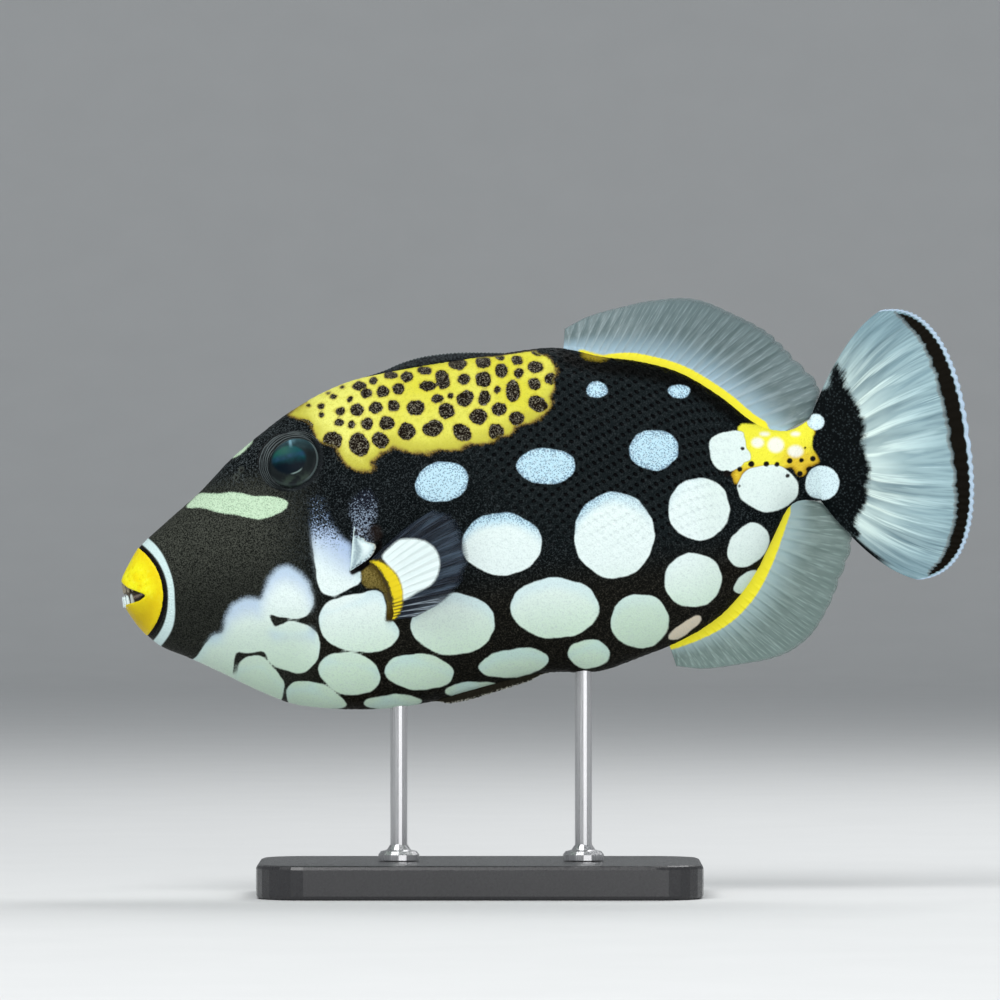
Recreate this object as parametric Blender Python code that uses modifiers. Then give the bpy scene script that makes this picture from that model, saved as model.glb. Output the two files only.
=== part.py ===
"""Clown triggerfish, Balistoides conspicillum: a still, life-size model on a display stand.

The fish is drawn level in a frame of its own, in millimetres. There x runs back from the tip of
the snout, y runs to the fish's right and z runs up. An empty tips that frame tail up and holds it
over the stand, whose base has the middle of its underside at the world's origin.
"""
import math
from bisect import bisect_right

import bmesh
import bpy
from mathutils import Vector

MM = 0.001
GAP = 0.3  # clearance between two pieces that touch
SHARP_ANGLE = math.radians(40.0)  # edges steeper than this stay sharp

# Pose of the fish over the stand
PITCH = math.radians(8.0)
SNOUT_AT = (-105.2, 0.0, 88.2)  # the snout's tip in the world

# Trunk: outlines of the back and the belly, half width, all against x
BACK = [
    (0.0, 2.0), (0.8, 4.3), (3.2, 7.8), (7.4, 12.9), (15.7, 18.8), (27.1, 26.4), (37.1, 34.4),
    (47.5, 41.0), (55.9, 45.7), (65.9, 49.9), (75.2, 52.4), (84.2, 53.3), (96.1, 53.9),
    (119.8, 54.2), (131.6, 54.2), (138.3, 53.2), (148.7, 49.4), (160.2, 46.2), (171.3, 41.3),
    (181.9, 32.9), (190.1, 24.4), (195.5, 21.2), (201.0, 20.3), (207.0, 22.6),
]
BELLY = [
    (0.0, -2.0), (0.8, -4.4), (1.8, -6.5), (4.1, -10.6), (9.2, -16.5), (17.4, -21.4),
    (26.1, -27.0), (35.8, -33.5), (44.6, -38.5), (50.3, -40.4), (58.9, -42.3), (67.6, -43.6),
    (76.3, -44.2), (85.0, -43.9), (97.0, -42.3), (109.0, -40.8), (118.0, -40.1), (124.3, -40.5),
    (131.0, -41.6), (137.0, -41.8), (148.1, -39.5), (157.8, -37.2), (166.6, -34.1), (173.0, -30.8),
    (177.9, -27.1), (183.0, -22.2), (188.5, -14.9), (193.3, -7.6), (197.0, -2.4), (201.0, -0.6),
    (207.0, -1.5),
]
HALF_WIDTH = [
    (0.0, 2.6), (0.8, 4.4), (6.0, 8.0), (14.0, 11.2), (25.0, 14.2), (40.0, 17.5), (55.0, 20.2),
    (70.0, 21.6), (85.0, 22.0), (100.0, 22.0), (115.0, 21.0), (130.0, 19.2), (145.0, 16.6),
    (160.0, 13.6), (175.0, 10.4), (188.0, 7.6), (198.0, 5.6), (207.0, 3.0),
]
WAIST = 0.52  # level of the widest part, as a share of the depth
UPPER_POWER = 2.2  # superellipse of the section above the waist
LOWER_POWER = 1.9  # and below it, where it draws in to a keel
RING_SIDES = 36
SNOUT_STATIONS = [0.0, 0.8, 2.0, 3.6, 5.6, 8.0, 11.0, 14.5, 18.5]
FACE_STATIONS = [23.0, 28.0, 33.0, 38.0, 43.0, 48.0, 53.0, 58.0, 62.5]
HEAD_END = 66.6
TORSO_END = 190.0
TRUNK_END = 206.7
TORSO_LENGTHS = 20
STEM_LENGTHS = 5

# Lips and mouth
LIP_CENTRE = (-3.8, 0.2)
LIP_RADIUS = 16.7
LIP_SIDES = 48
UPPER_LIP_EDGE = [(-6.0, 6.5), (0.4, 3.6), (2.4, 1.5), (5.6, -0.2), (7.8, -1.2), (18.0, -1.2)]
LOWER_LIP_EDGE = [(-6.0, -3.9), (0.6, -3.3), (5.2, -2.7), (7.8, -1.5), (18.0, -1.5)]
LIP_BLOCK_HEIGHT = 30.0
LIP_BLOCK_WIDTH = 60.0

# Teeth, in an arc behind the edge of each lip: level of the root and of the cutting edge
TEETH = {"lip_upper": (3.0, 0.3), "lip_lower": (-4.2, -1.0)}
TEETH_PER_SIDE = 3
TOOTH_PITCH = 1.35
TOOTH_FRONT = 1.5
TOOTH_ARC = 0.11  # how fast the row falls back from the middle
TOOTH_ROOT = (1.15, 1.3)  # width and thickness at the root
TOOTH_EDGE = (0.85, 0.5)

# Nostrils: places on each side of the snout
NOSTRILS = [(38.4, 29.2), (40.2, 31.2)]
NOSTRIL_RADIUS = 0.7
NOSTRIL_DEPTH = 1.2
NOSTRIL_AXIS = (-0.2, 0.8, 0.5)  # forwards, outwards and upwards
NOSTRIL_SIDES = 10

# Eyes
EYE_AT = (54.8, 31.7)
EYE_SIZE = (8.2, 5.0, 8.5)  # radii along the head, outwards and upwards
EYE_SUNK = 1.2  # depth of the ball's centre under the skin
EYE_TILT = math.radians(16.0)  # how far it looks up
EYE_SIDES = 24
EYE_RINGS = 12
LID_RADIUS = 8.6
LID_THICKNESS = 1.2
LID_STEPS = 24
LID_SIDES = 6

# Gill slit and the flap over it
GILL_SLIT = [(68.4, -2.9), (71.0, -2.0), (74.2, -0.4), (76.8, 2.8), (78.7, 6.4), (80.2, 10.6)]
SLIT_WIDTH = 0.9
SLIT_DEPTH = 2.4
SLIT_LIFT = 1.0  # how far its cutter stands above the skin
FLAP_FRONT = [(0.0, (71.1, 11.6)), (0.5, (69.4, 4.6)), (1.0, (67.8, -2.6))]
FLAP_REAR = [
    (0.0, (74.3, 11.0)), (0.3, (73.2, 7.2)), (0.45, (73.6, 5.4)), (0.62, (76.3, 3.9)),
    (0.8, (74.2, 0.6)), (1.0, (68.7, -2.1)),
]
FLAP_COLUMNS = 5
FLAP_ROWS = 12
FLAP_THICKNESS = 0.7
FLAP_FLARE = 0.8

# Fins: each guide is a share along the root, the ray's foot and its tip
DORSAL_RAYS = 26
DORSAL_GUIDES = [
    (0.00, 138.4, (139.6, 59.0)), (0.07, 142.4, (146.8, 61.6)), (0.16, 146.9, (155.9, 62.9)),
    (0.30, 154.6, (166.5, 63.6)), (0.46, 163.4, (178.5, 62.2)), (0.62, 172.2, (190.2, 55.6)),
    (0.74, 177.6, (199.2, 49.1)), (0.84, 182.6, (204.9, 41.6)), (0.92, 187.6, (210.2, 32.6)),
    (0.96, 192.6, (209.6, 28.0)), (1.00, 199.5, (206.0, 22.6)),
]
ANAL_RAYS = 22
ANAL_GUIDES = [
    (0.00, 157.1, (158.2, -43.6)), (0.08, 161.0, (165.6, -45.4)), (0.20, 167.4, (175.3, -45.7)),
    (0.38, 174.4, (188.2, -45.0)), (0.52, 179.6, (196.2, -41.8)), (0.64, 184.0, (202.0, -36.6)),
    (0.76, 189.0, (208.8, -26.6)), (0.88, 193.4, (213.8, -13.6)), (0.95, 196.4, (210.6, -6.6)),
    (1.00, 202.0, (206.3, -1.8)),
]
MEDIAN_ROWS = 6
MEDIAN_ROOT = 1.5  # thickness of a ray at its foot
MEDIAN_TIP = 0.8
DORSAL_WAVE = 3.2
ANAL_WAVE = 2.2
ANAL_SET = 3.0  # the rear of the anal fin passes to the right of the tail fin's edge
MEMBRANE_SHARE = 0.62  # thickness of the membrane as a share of its rays'
SCALLOP = 0.02  # how far the membrane falls short of the ray tips

CAUDAL_ROOT = 207.0
CAUDAL_TOP = 22.5
CAUDAL_BOTTOM = -1.6
CAUDAL_RAYS = 12
CAUDAL_COLUMNS_PER_RAY = 4
CAUDAL_ROWS = 8
CAUDAL_AXIS = 11.5
CAUDAL_SPREAD = 40.0
CAUDAL_CORNER = 232.3
CAUDAL_REAR = 20.6
CAUDAL_POWER = 2.5
CAUDAL_BULGE = 9.0  # how far the outer rays bow outwards
CAUDAL_TIP = 0.8
CAUDAL_STEM = 1.4  # thickness of the bare rays at the root, against their tips'
CAUDAL_FLESH = (0.45, 1.6)  # the fleshy root's share of the fin, and how fast it thins
CAUDAL_FORK = (0.4, 0.65)  # where the rays start to fork and where they have parted
CAUDAL_STEM_RIDGE = (0.0, 0.5, 1.0, 0.5)  # height of a ray's columns before the fork
CAUDAL_FORK_RIDGE = (0.0, 1.0, 0.3, 1.0)  # and after it
CAUDAL_SET = 1.5  # the tips' set to the right
CAUDAL_WAVE = 0.8

PECTORAL_RAYS = 13
PECTORAL_ROWS = 6
PECTORAL_GUIDES = [
    (0.0, (73.8, -0.6), (95.5, 12.2)), (0.2, (75.0, -4.2), (101.2, 8.0)),
    (0.4, (76.2, -7.8), (102.6, 0.8)), (0.6, (77.1, -11.4), (102.0, -6.6)),
    (0.8, (77.7, -14.9), (95.5, -14.2)), (1.0, (77.8, -18.3), (85.0, -18.4)),
]
PECTORAL_ROOT = 2.4
PECTORAL_TIP = 0.8
PECTORAL_THINNING = 2.2  # how fast the rays thin out from the root
PECTORAL_FOOT = 1.5  # spread of the root along the flank, against its thickness
PECTORAL_PROBE = 0.02  # share of the fin over which its slope is taken
PECTORAL_SWING = {"left": math.radians(24.0), "right": math.radians(28.0)}

PELVIC_RAYS = 11
PELVIC_EDGE = [
    (86.0, -45.0), (91.0, -45.4), (97.0, -45.1), (103.0, -44.2), (109.0, -43.2), (115.2, -42.2),
    (121.0, -41.3),
]
PELVIC_ROWS = 3
PELVIC_ROOT = 1.8
PELVIC_TIP = 0.8

# The first dorsal fin lies folded in its groove: a stout spine along the back
SPINE_CREST = [
    (80.0, 0.1), (85.8, 0.85), (90.4, 1.9), (96.4, 2.65), (102.4, 2.65), (108.3, 2.2),
    (114.1, 1.35), (121.0, 0.2),
]  # how far it stands above the back
SPINE_HALF_WIDTH = 1.7
SPINE_HALF_HEIGHT = 1.9
SPINE_END = 0.45  # its size where the crest comes down to the back, as a share of the full
SPINE_LENGTHS = 14
SPINE_SIDES = 12

# Display stand
BASE_SIZE = (130.0, 72.0, 10.0)
BASE_CORNER = 14.0
BASE_CORNER_STEPS = 6
BASE_EDGE = 1.2
ROD_STATIONS = {"front": 76.0, "rear": 131.0}
ROD_RADIUS = 2.5
ROD_CHAMFER = 0.4
ROD_SUNK = 12.0  # how far a rod reaches up into the belly
COLLAR_RADIUS = 6.0
COLLAR_HEIGHT = 3.0
COLLAR_RIM = 1.6  # height of its upright rim
COLLAR_SLOPE = (0.8, 0.4)  # how far its top has drawn in and come down at the rim
COLLAR_FLARE = (1.0, 1.5)  # width and height of the flare where the rod leaves it
ROD_STEPS = 16

SIDES = {"left": -1.0, "right": 1.0}


def smooth(knots, x):
    """The value at x of a smooth curve through (x, value) knots."""
    places = [knot[0] for knot in knots]
    last = len(knots) - 1
    first = min(max(bisect_right(places, x) - 1, 0), last - 1)

    def slope(index):
        before = knots[max(index - 1, 0)]
        after = knots[min(index + 1, last)]
        return (after[1] - before[1]) / (after[0] - before[0])

    start, end = knots[first], knots[first + 1]
    length = end[0] - start[0]
    t = (x - start[0]) / length
    value = (2 * t ** 3 - 3 * t ** 2 + 1) * start[1] + (3 * t ** 2 - 2 * t ** 3) * end[1]
    lean = (t ** 3 - 2 * t ** 2 + t) * slope(first) + (t ** 3 - t ** 2) * slope(first + 1)
    return value + length * lean


def mix(a, b, share):
    """A value between a and b."""
    return a + (b - a) * share


def mix_pair(pair, other, share):
    """A point between two flat points."""
    return (mix(pair[0], other[0], share), mix(pair[1], other[1], share))


def signed_power(value, power):
    """Power that keeps the sign, as a superellipse needs."""
    return math.copysign(abs(value) ** power, value)


def waist_level(x):
    """Height of the widest part of the trunk's section."""
    return mix(smooth(BELLY, x), smooth(BACK, x), WAIST)


def trunk_ring(x):
    """Section of the trunk at x, as points round it."""
    middle = waist_level(x)
    width = smooth(HALF_WIDTH, x)
    points = []
    for step in range(RING_SIDES):
        angle = 2 * math.pi * step / RING_SIDES
        above = math.sin(angle) >= 0
        power = 2 / (UPPER_POWER if above else LOWER_POWER)
        reach = smooth(BACK, x) - middle if above else middle - smooth(BELLY, x)
        y = width * signed_power(math.cos(angle), power)
        z = middle + reach * signed_power(math.sin(angle), power)
        points.append((x, y, z))
    return points


def flank(x, z):
    """Half width of the trunk at a point of its side view."""
    middle = waist_level(x)
    above = z > middle
    power = UPPER_POWER if above else LOWER_POWER
    reach = smooth(BACK, x) - middle if above else middle - smooth(BELLY, x)
    share = min(abs(z - middle) / reach, 1.0)
    return smooth(HALF_WIDTH, x) * (1 - share ** power) ** (1 / power)


def make_collection(name):
    """A collection linked to the scene."""
    collection = bpy.data.collections.new(name)
    bpy.context.scene.collection.children.link(collection)
    return collection


def make_material(name, colour, roughness, metallic=0.0):
    """A Principled material."""
    material = bpy.data.materials.new(name)
    material.use_nodes = True
    shader = material.node_tree.nodes["Principled BSDF"]
    shader.inputs["Base Color"].default_value = (*colour, 1.0)
    shader.inputs["Roughness"].default_value = roughness
    shader.inputs["Metallic"].default_value = metallic
    return material


def add_mesh(name, points, faces, collection, material=None, parent=None):
    """An object from points in millimetres, with its faces turned outwards."""
    shape = bmesh.new()
    vertices = [shape.verts.new(Vector(point) * MM) for point in points]
    for face in faces:
        shape.faces.new([vertices[index] for index in face])
    bmesh.ops.recalc_face_normals(shape, faces=shape.faces)
    mesh = bpy.data.meshes.new(name)
    shape.to_mesh(mesh)
    shape.free()
    mesh.shade_smooth()
    mesh.set_sharp_from_angle(angle=SHARP_ANGLE)
    thing = bpy.data.objects.new(name, mesh)
    collection.objects.link(thing)
    if material:
        mesh.materials.append(material)
    thing.parent = parent
    return thing


def loft(rings):
    """Points and faces of a closed skin over rings of equal count."""
    sides = len(rings[0])
    points = [point for ring in rings for point in ring]
    faces = []
    for ring in range(len(rings) - 1):
        for side in range(sides):
            a = ring * sides + side
            b = ring * sides + (side + 1) % sides
            faces.append((a, b, b + sides, a + sides))
    faces.append(tuple(range(sides)))
    faces.append(tuple(range(len(points) - sides, len(points))))
    return points, faces


def plate(columns, rows, faces_at):
    """Points and triangles of a thin plate, split alike on both of its faces.

    faces_at(column, row) gives the point on one face and the point behind it on the other.
    """
    grid = [[faces_at(column, row) for column in range(columns)] for row in range(rows)]
    points = [pair[side] for side in (0, 1) for line in grid for pair in line]
    behind = columns * rows

    def index(column, row):
        return row * columns + column

    faces = []
    for row in range(rows - 1):
        for column in range(columns - 1):
            a, b = index(column, row), index(column + 1, row)
            c, d = index(column + 1, row + 1), index(column, row + 1)
            for triangle in ((a, b, c), (a, c, d)):
                faces.append(triangle)
                faces.append(tuple(corner + behind for corner in triangle))
    rim = [index(column, 0) for column in range(columns)]
    rim += [index(columns - 1, row) for row in range(1, rows)]
    rim += [index(column, rows - 1) for column in range(columns - 2, -1, -1)]
    rim += [index(0, row) for row in range(rows - 2, 0, -1)]
    for a, b in zip(rim, rim[1:] + rim[:1]):
        faces.append((a, b, b + behind))
        faces.append((a, b + behind, a + behind))
    return points, faces


def add_cutter(name, points, faces, cutters, parent=None):
    """A hidden object that others are cut or joined with."""
    cutter = add_mesh(name, points, faces, cutters, parent=parent)
    return mark_cutter(cutter)


def add_block(name, outline, width, cutters, parent):
    """A cutter with a flat outline in x and z, thickened across y."""
    points = [(x, 0.0, z) for x, z in outline]
    block = add_cutter(name, points, [tuple(range(len(points)))], cutters, parent)
    thicken = block.modifiers.new("thicken", "SOLIDIFY")
    thicken.thickness = width * MM
    thicken.offset = 0.0
    return block


def mark_cutter(cutter):
    """Hides a helper object from the render."""
    cutter.hide_render = True
    cutter.display_type = "WIRE"
    return cutter


def combine(thing, operation, other):
    """Adds a Boolean modifier."""
    modifier = thing.modifiers.new(f"{operation.lower()}_{other.name}", "BOOLEAN")
    modifier.operation = operation
    modifier.solver = "EXACT"
    modifier.object = other


def round_rod(centre, axis, radius, length, sides):
    """Points and faces of a cylinder about any axis."""
    shape = bmesh.new()
    bmesh.ops.create_cone(
        shape, cap_ends=True, segments=sides, radius1=radius, radius2=radius, depth=length,
    )
    shape.verts.index_update()
    turn = Vector((0.0, 0.0, 1.0)).rotation_difference(Vector(axis))
    points = [Vector(centre) + turn @ vertex.co for vertex in shape.verts]
    faces = [tuple(vertex.index for vertex in face.verts) for face in shape.faces]
    shape.free()
    return points, faces


def evenly(start, end, lengths):
    """Places from start to end."""
    return [mix(start, end, step / lengths) for step in range(lengths + 1)]


def make_trunk(parts, cutters, pose, materials):
    """Head, torso, tail stem and lips from one loft."""
    head_places = SNOUT_STATIONS + FACE_STATIONS + [HEAD_END]
    torso_places = evenly(HEAD_END + GAP, TORSO_END, TORSO_LENGTHS)
    stem_places = evenly(TORSO_END + GAP, TRUNK_END, STEM_LENGTHS)
    pieces = {}
    for name, places in (("head", head_places), ("torso", torso_places), ("tail_stem", stem_places)):
        points, faces = loft([trunk_ring(x) for x in places])
        pieces[name] = add_mesh(name, points, faces, parts, materials["skin"], pose)

    centre = (LIP_CENTRE[0], 0.0, LIP_CENTRE[1])
    across = (0.0, 1.0, 0.0)
    face_cut = round_rod(centre, across, LIP_RADIUS + GAP, LIP_BLOCK_WIDTH, LIP_SIDES)
    combine(pieces["head"], "DIFFERENCE", add_cutter("lip_seat", *face_cut, cutters, pose))

    lip_cut = round_rod(centre, across, LIP_RADIUS, LIP_BLOCK_WIDTH, LIP_SIDES)
    lip_round = add_cutter("lip_round", *lip_cut, cutters, pose)
    snout = loft([trunk_ring(x) for x in SNOUT_STATIONS])
    for name, edge, height in (
        ("lip_upper", UPPER_LIP_EDGE, LIP_BLOCK_HEIGHT),
        ("lip_lower", LOWER_LIP_EDGE, -LIP_BLOCK_HEIGHT),
    ):
        lip = add_mesh(name, *snout, parts, materials["lips"], pose)
        outline = edge + [(edge[-1][0], height), (edge[0][0], height)]
        block = add_block(f"{name}_block", outline, LIP_BLOCK_WIDTH, cutters, pose)
        combine(lip, "INTERSECT", lip_round)
        combine(lip, "INTERSECT", block)
        combine(lip, "UNION", add_cutter(f"{name}_teeth", *teeth(*TEETH[name]), cutters, pose))
    return pieces


def teeth(root, edge):
    """A row of tapered teeth with their roots sunk in a lip."""
    points, faces = [], []
    for place in range(2 * TEETH_PER_SIDE):
        y = (place - TEETH_PER_SIDE + 0.5) * TOOTH_PITCH
        x = TOOTH_FRONT + TOOTH_ARC * y * y
        rings = []
        for level, (width, depth) in ((root, TOOTH_ROOT), (edge, TOOTH_EDGE)):
            corners = [(-1, -1), (1, -1), (1, 1), (-1, 1)]
            rings.append([(x + a * depth / 2, y + b * width / 2, level) for a, b in corners])
        tooth_points, tooth_faces = loft(rings)
        start = len(points)
        points += tooth_points
        faces += [tuple(corner + start for corner in face) for face in tooth_faces]
    return points, faces


def make_nostrils(head, cutters, pose):
    """Two small pits in front of each eye."""
    for name, side in SIDES.items():
        for number, (x, z) in enumerate(NOSTRILS):
            centre = (x, side * flank(x, z), z)
            outwards = (NOSTRIL_AXIS[0], side * NOSTRIL_AXIS[1], NOSTRIL_AXIS[2])
            pit = round_rod(centre, outwards, NOSTRIL_RADIUS, 2 * NOSTRIL_DEPTH, NOSTRIL_SIDES)
            combine(head, "DIFFERENCE", add_cutter(f"nostril_{name}_{number}", *pit, cutters, pose))


def eye_frame(side):
    """Centre and axes of an eye: along the head, outwards and upwards."""
    x, z = EYE_AT
    outwards = Vector((0.0, side * math.cos(EYE_TILT), math.sin(EYE_TILT)))
    along = Vector((1.0, 0.0, 0.0))
    upwards = Vector((0.0, -side * math.sin(EYE_TILT), math.cos(EYE_TILT)))
    skin = Vector((x, side * flank(x, z), z))
    return skin - outwards * EYE_SUNK, along, outwards, upwards


def eye_ball(side, extra):
    """Points and faces of an eye, grown by a clearance."""
    centre, along, outwards, upwards = eye_frame(side)
    shape = bmesh.new()
    bmesh.ops.create_uvsphere(shape, u_segments=EYE_SIDES, v_segments=EYE_RINGS, radius=1.0)
    points = []
    for vertex in shape.verts:
        reach = [size + extra for size in EYE_SIZE]
        across = along * (vertex.co.x * reach[0]) + upwards * (vertex.co.y * reach[2])
        points.append(centre + across + outwards * (vertex.co.z * reach[1]))
    faces = [tuple(vertex.index for vertex in face.verts) for face in shape.faces]
    shape.free()
    return points, faces


def add_lid(name, side, cutters, parent):
    """The raised ring of skin round an eye: a torus that faces the way the eye looks."""
    x, z = EYE_AT
    bpy.ops.mesh.primitive_torus_add(
        major_segments=LID_STEPS, minor_segments=LID_SIDES,
        major_radius=LID_RADIUS * MM, minor_radius=LID_THICKNESS * MM,
    )
    lid = bpy.context.object
    lid.name = name
    for collection in lid.users_collection:
        collection.objects.unlink(lid)
    cutters.objects.link(lid)
    lid.parent = parent
    lid.location = Vector((x, side * flank(x, z), z)) * MM
    lid.rotation_euler = (-side * (math.pi / 2 - EYE_TILT), 0.0, 0.0)
    lid.scale = (1.0, EYE_SIZE[2] / EYE_SIZE[0], 1.0)
    return mark_cutter(lid)


def make_eyes(head, parts, cutters, pose, materials):
    """Eye balls, their lids and their sockets."""
    for name, side in SIDES.items():
        combine(head, "UNION", add_lid(f"lid_{name}", side, cutters, pose))
    for name, side in SIDES.items():
        socket = add_cutter(f"socket_{name}", *eye_ball(side, GAP), cutters, pose)
        combine(head, "DIFFERENCE", socket)
        add_mesh(f"eye_{name}", *eye_ball(side, 0.0), parts, materials["eye"], pose)


def make_gills(torso, parts, cutters, pose, materials):
    """The slit in front of each pectoral fin and the flap over it."""
    count = len(GILL_SLIT)
    for name, side in SIDES.items():
        def slit_faces(column, row):
            x, z = GILL_SLIT[column]
            before, after = GILL_SLIT[max(column - 1, 0)], GILL_SLIT[min(column + 1, count - 1)]
            run = Vector((after[0] - before[0], after[1] - before[1])).normalized()
            y = side * (flank(x, z) + (SLIT_LIFT if row else -SLIT_DEPTH))
            half = SLIT_WIDTH / 2
            return (x - run.y * half, y, z + run.x * half), (x + run.y * half, y, z - run.x * half)

        def flap_faces(column, row):
            u = column / (FLAP_COLUMNS - 1)
            v = row / (FLAP_ROWS - 1)
            x, z = mix_pair(guide_point(FLAP_FRONT, v, 1), guide_point(FLAP_REAR, v, 1), u)
            lift = flank(x, z) + GAP + FLAP_FLARE * v * u
            return (x, side * lift, z), (x, side * (lift + FLAP_THICKNESS), z)

        slit = add_cutter(f"slit_{name}", *plate(count, 2, slit_faces), cutters, pose)
        combine(torso, "DIFFERENCE", slit)
        flap = plate(FLAP_COLUMNS, FLAP_ROWS, flap_faces)
        add_mesh(f"gill_flap_{name}", *flap, parts, materials["flap"], pose)


def guide_point(guides, share, place):
    """Point on a fin's root or margin, from its guides."""
    return tuple(
        smooth([(guide[0], guide[place][axis]) for guide in guides], share) for axis in (0, 1)
    )


def ray_thickness(column, root, tip, v):
    """Half thickness at a column: even columns are rays, odd ones membrane."""
    share = MEMBRANE_SHARE if column % 2 else 1.0
    return mix(root, tip, v ** 0.7) * share / 2


def median_fin(guides, rays, outline, clearance, wave):
    """A fin on the back or belly, with its foot on the trunk's outline."""
    columns = 2 * rays - 1

    def faces_at(column, row):
        u = column / (columns - 1)
        v = row / (MEDIAN_ROWS - 1)
        foot_x = smooth([(guide[0], guide[1]) for guide in guides], u)
        foot = (foot_x, smooth(outline, foot_x) + clearance)
        tip = guide_point(guides, u, 2)
        reach = v * (1.0 - SCALLOP * (column % 2))
        x, z = mix_pair(foot, tip, reach)
        y = wave(u, v)
        half = ray_thickness(column, MEDIAN_ROOT, MEDIAN_TIP, v)
        return (x, y - half, z), (x, y + half, z)

    return plate(columns, MEDIAN_ROWS, faces_at)


def dorsal_wave(u, v):
    """Sideways curl of the second dorsal fin."""
    return DORSAL_WAVE * v ** 1.5 * math.sin(2 * math.pi * (1.2 * u + 0.1))


def anal_wave(u, v):
    """Sideways curl of the anal fin, whose rear is set to the right of the tail fin."""
    return v ** 1.5 * (ANAL_WAVE * math.sin(2 * math.pi * (1.1 * u + 0.55)) * (1 - u) + ANAL_SET * u ** 2)


def caudal_point(u, v):
    """A point of the tail fin's middle: rays bow out from the root to a squared rear margin."""
    root = (CAUDAL_ROOT, mix(CAUDAL_TOP, CAUDAL_BOTTOM, u))
    turn = math.pi * u
    spread = signed_power(math.cos(turn), 2 / CAUDAL_POWER)
    depth = math.sin(turn) ** (2 / CAUDAL_POWER) if 0 < u < 1 else 0.0
    tip = (CAUDAL_CORNER + CAUDAL_REAR * depth, CAUDAL_AXIS + CAUDAL_SPREAD * spread)
    middle = mix_pair(root, tip, 0.5)
    bow = (middle[0], middle[1] + CAUDAL_BULGE * spread)
    return mix_pair(mix_pair(root, bow, v), mix_pair(bow, tip, v), v)


def make_caudal(parts, pose, materials):
    """The tail fin: thick at the stem, with rays that fork half way out."""
    columns = CAUDAL_RAYS * CAUDAL_COLUMNS_PER_RAY + 1
    fork_start, fork_end = CAUDAL_FORK
    flesh_end, flesh_power = CAUDAL_FLESH

    def faces_at(column, row):
        u = column / (columns - 1)
        v = row / (CAUDAL_ROWS - 1)
        x, z = caudal_point(u, v)
        thin = CAUDAL_TIP / 2 * mix(CAUDAL_STEM, 1.0, v)
        foot = max(flank(TRUNK_END, mix(CAUDAL_TOP, CAUDAL_BOTTOM, u)), thin)
        flesh = max(1.0 - v / flesh_end, 0.0) ** flesh_power
        place = column % CAUDAL_COLUMNS_PER_RAY
        fork = min(max((v - fork_start) / (fork_end - fork_start), 0.0), 1.0)
        ridge = mix(CAUDAL_STEM_RIDGE[place], CAUDAL_FORK_RIDGE[place], fork)
        half = thin * mix(MEMBRANE_SHARE, 1.0, ridge) + (foot - thin) * flesh
        y = CAUDAL_SET * v ** 2 + CAUDAL_WAVE * v * math.sin(3 * math.pi * u)
        return (x, y - half, z), (x, y + half, z)

    add_mesh("caudal_fin", *plate(columns, CAUDAL_ROWS, faces_at), parts, materials["caudal"], pose)


def make_median_fins(parts, pose, materials):
    """Second dorsal and anal fins."""
    dorsal = median_fin(DORSAL_GUIDES, DORSAL_RAYS, BACK, GAP, dorsal_wave)
    add_mesh("second_dorsal_fin", *dorsal, parts, materials["fin"], pose)
    anal = median_fin(ANAL_GUIDES, ANAL_RAYS, BELLY, -GAP, anal_wave)
    add_mesh("anal_fin", *anal, parts, materials["fin"], pose)


def pectoral_faces(side, swing):
    """Both faces of a pectoral fin at a column and a row."""
    columns = 2 * PECTORAL_RAYS - 1
    spread = math.tan(swing)

    def middle(u, v):
        foot = guide_point(PECTORAL_GUIDES, u, 1)
        x, z = mix_pair(foot, guide_point(PECTORAL_GUIDES, u, 2), v)
        away = math.hypot(x - foot[0], z - foot[1])
        return Vector((x, side * (flank(x, z) + GAP + spread * away), z))

    def faces_at(column, row):
        u = column / (columns - 1)
        v = row / (PECTORAL_ROWS - 1) * (1.0 - SCALLOP * (column % 2))
        thinned = min(PECTORAL_THINNING * v, 1.0)
        half = ray_thickness(column, PECTORAL_ROOT, PECTORAL_TIP, thinned)
        place = middle(u, v)
        if row == 0:
            run = middle(u, 1.0) - place
            flat = Vector((run.x, run.z)).normalized() * half * PECTORAL_FOOT
            ends = []
            for way in (-1, 1):
                x, z = place.x + way * flat.x, place.z + way * flat.y
                ends.append((x, side * (flank(x, z) + GAP), z))
            return ends[0], ends[1]
        step = PECTORAL_PROBE
        along = middle(u, min(v + step, 1.0)) - middle(u, v - step)
        across = middle(min(u + step, 1.0), v) - middle(max(u - step, 0.0), v)
        normal = along.cross(across).normalized()
        if normal.y * side < 0:
            normal = -normal
        return place + normal * half, place - normal * half

    return plate(columns, PECTORAL_ROWS, faces_at)


def make_pectorals(parts, pose, materials):
    """The pair of pectoral fins, swung out from the flanks."""
    for name, side in SIDES.items():
        fin = pectoral_faces(side, PECTORAL_SWING[name])
        add_mesh(f"pectoral_fin_{name}", *fin, parts, materials["pectoral"], pose)


def make_pelvic_flap(parts, pose, materials):
    """The thin keel of skin that runs back from the pelvic spine."""
    columns = 2 * PELVIC_RAYS - 1

    def faces_at(column, row):
        x = mix(PELVIC_EDGE[0][0], PELVIC_EDGE[-1][0], column / (columns - 1))
        v = row / (PELVIC_ROWS - 1)
        z = mix(smooth(BELLY, x) - GAP, smooth(PELVIC_EDGE, x), v)
        half = ray_thickness(column, PELVIC_ROOT, PELVIC_TIP, v)
        return (x, -half, z), (x, half, z)

    add_mesh("pelvic_flap", *plate(columns, PELVIC_ROWS, faces_at), parts, materials["skin"], pose)


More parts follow.
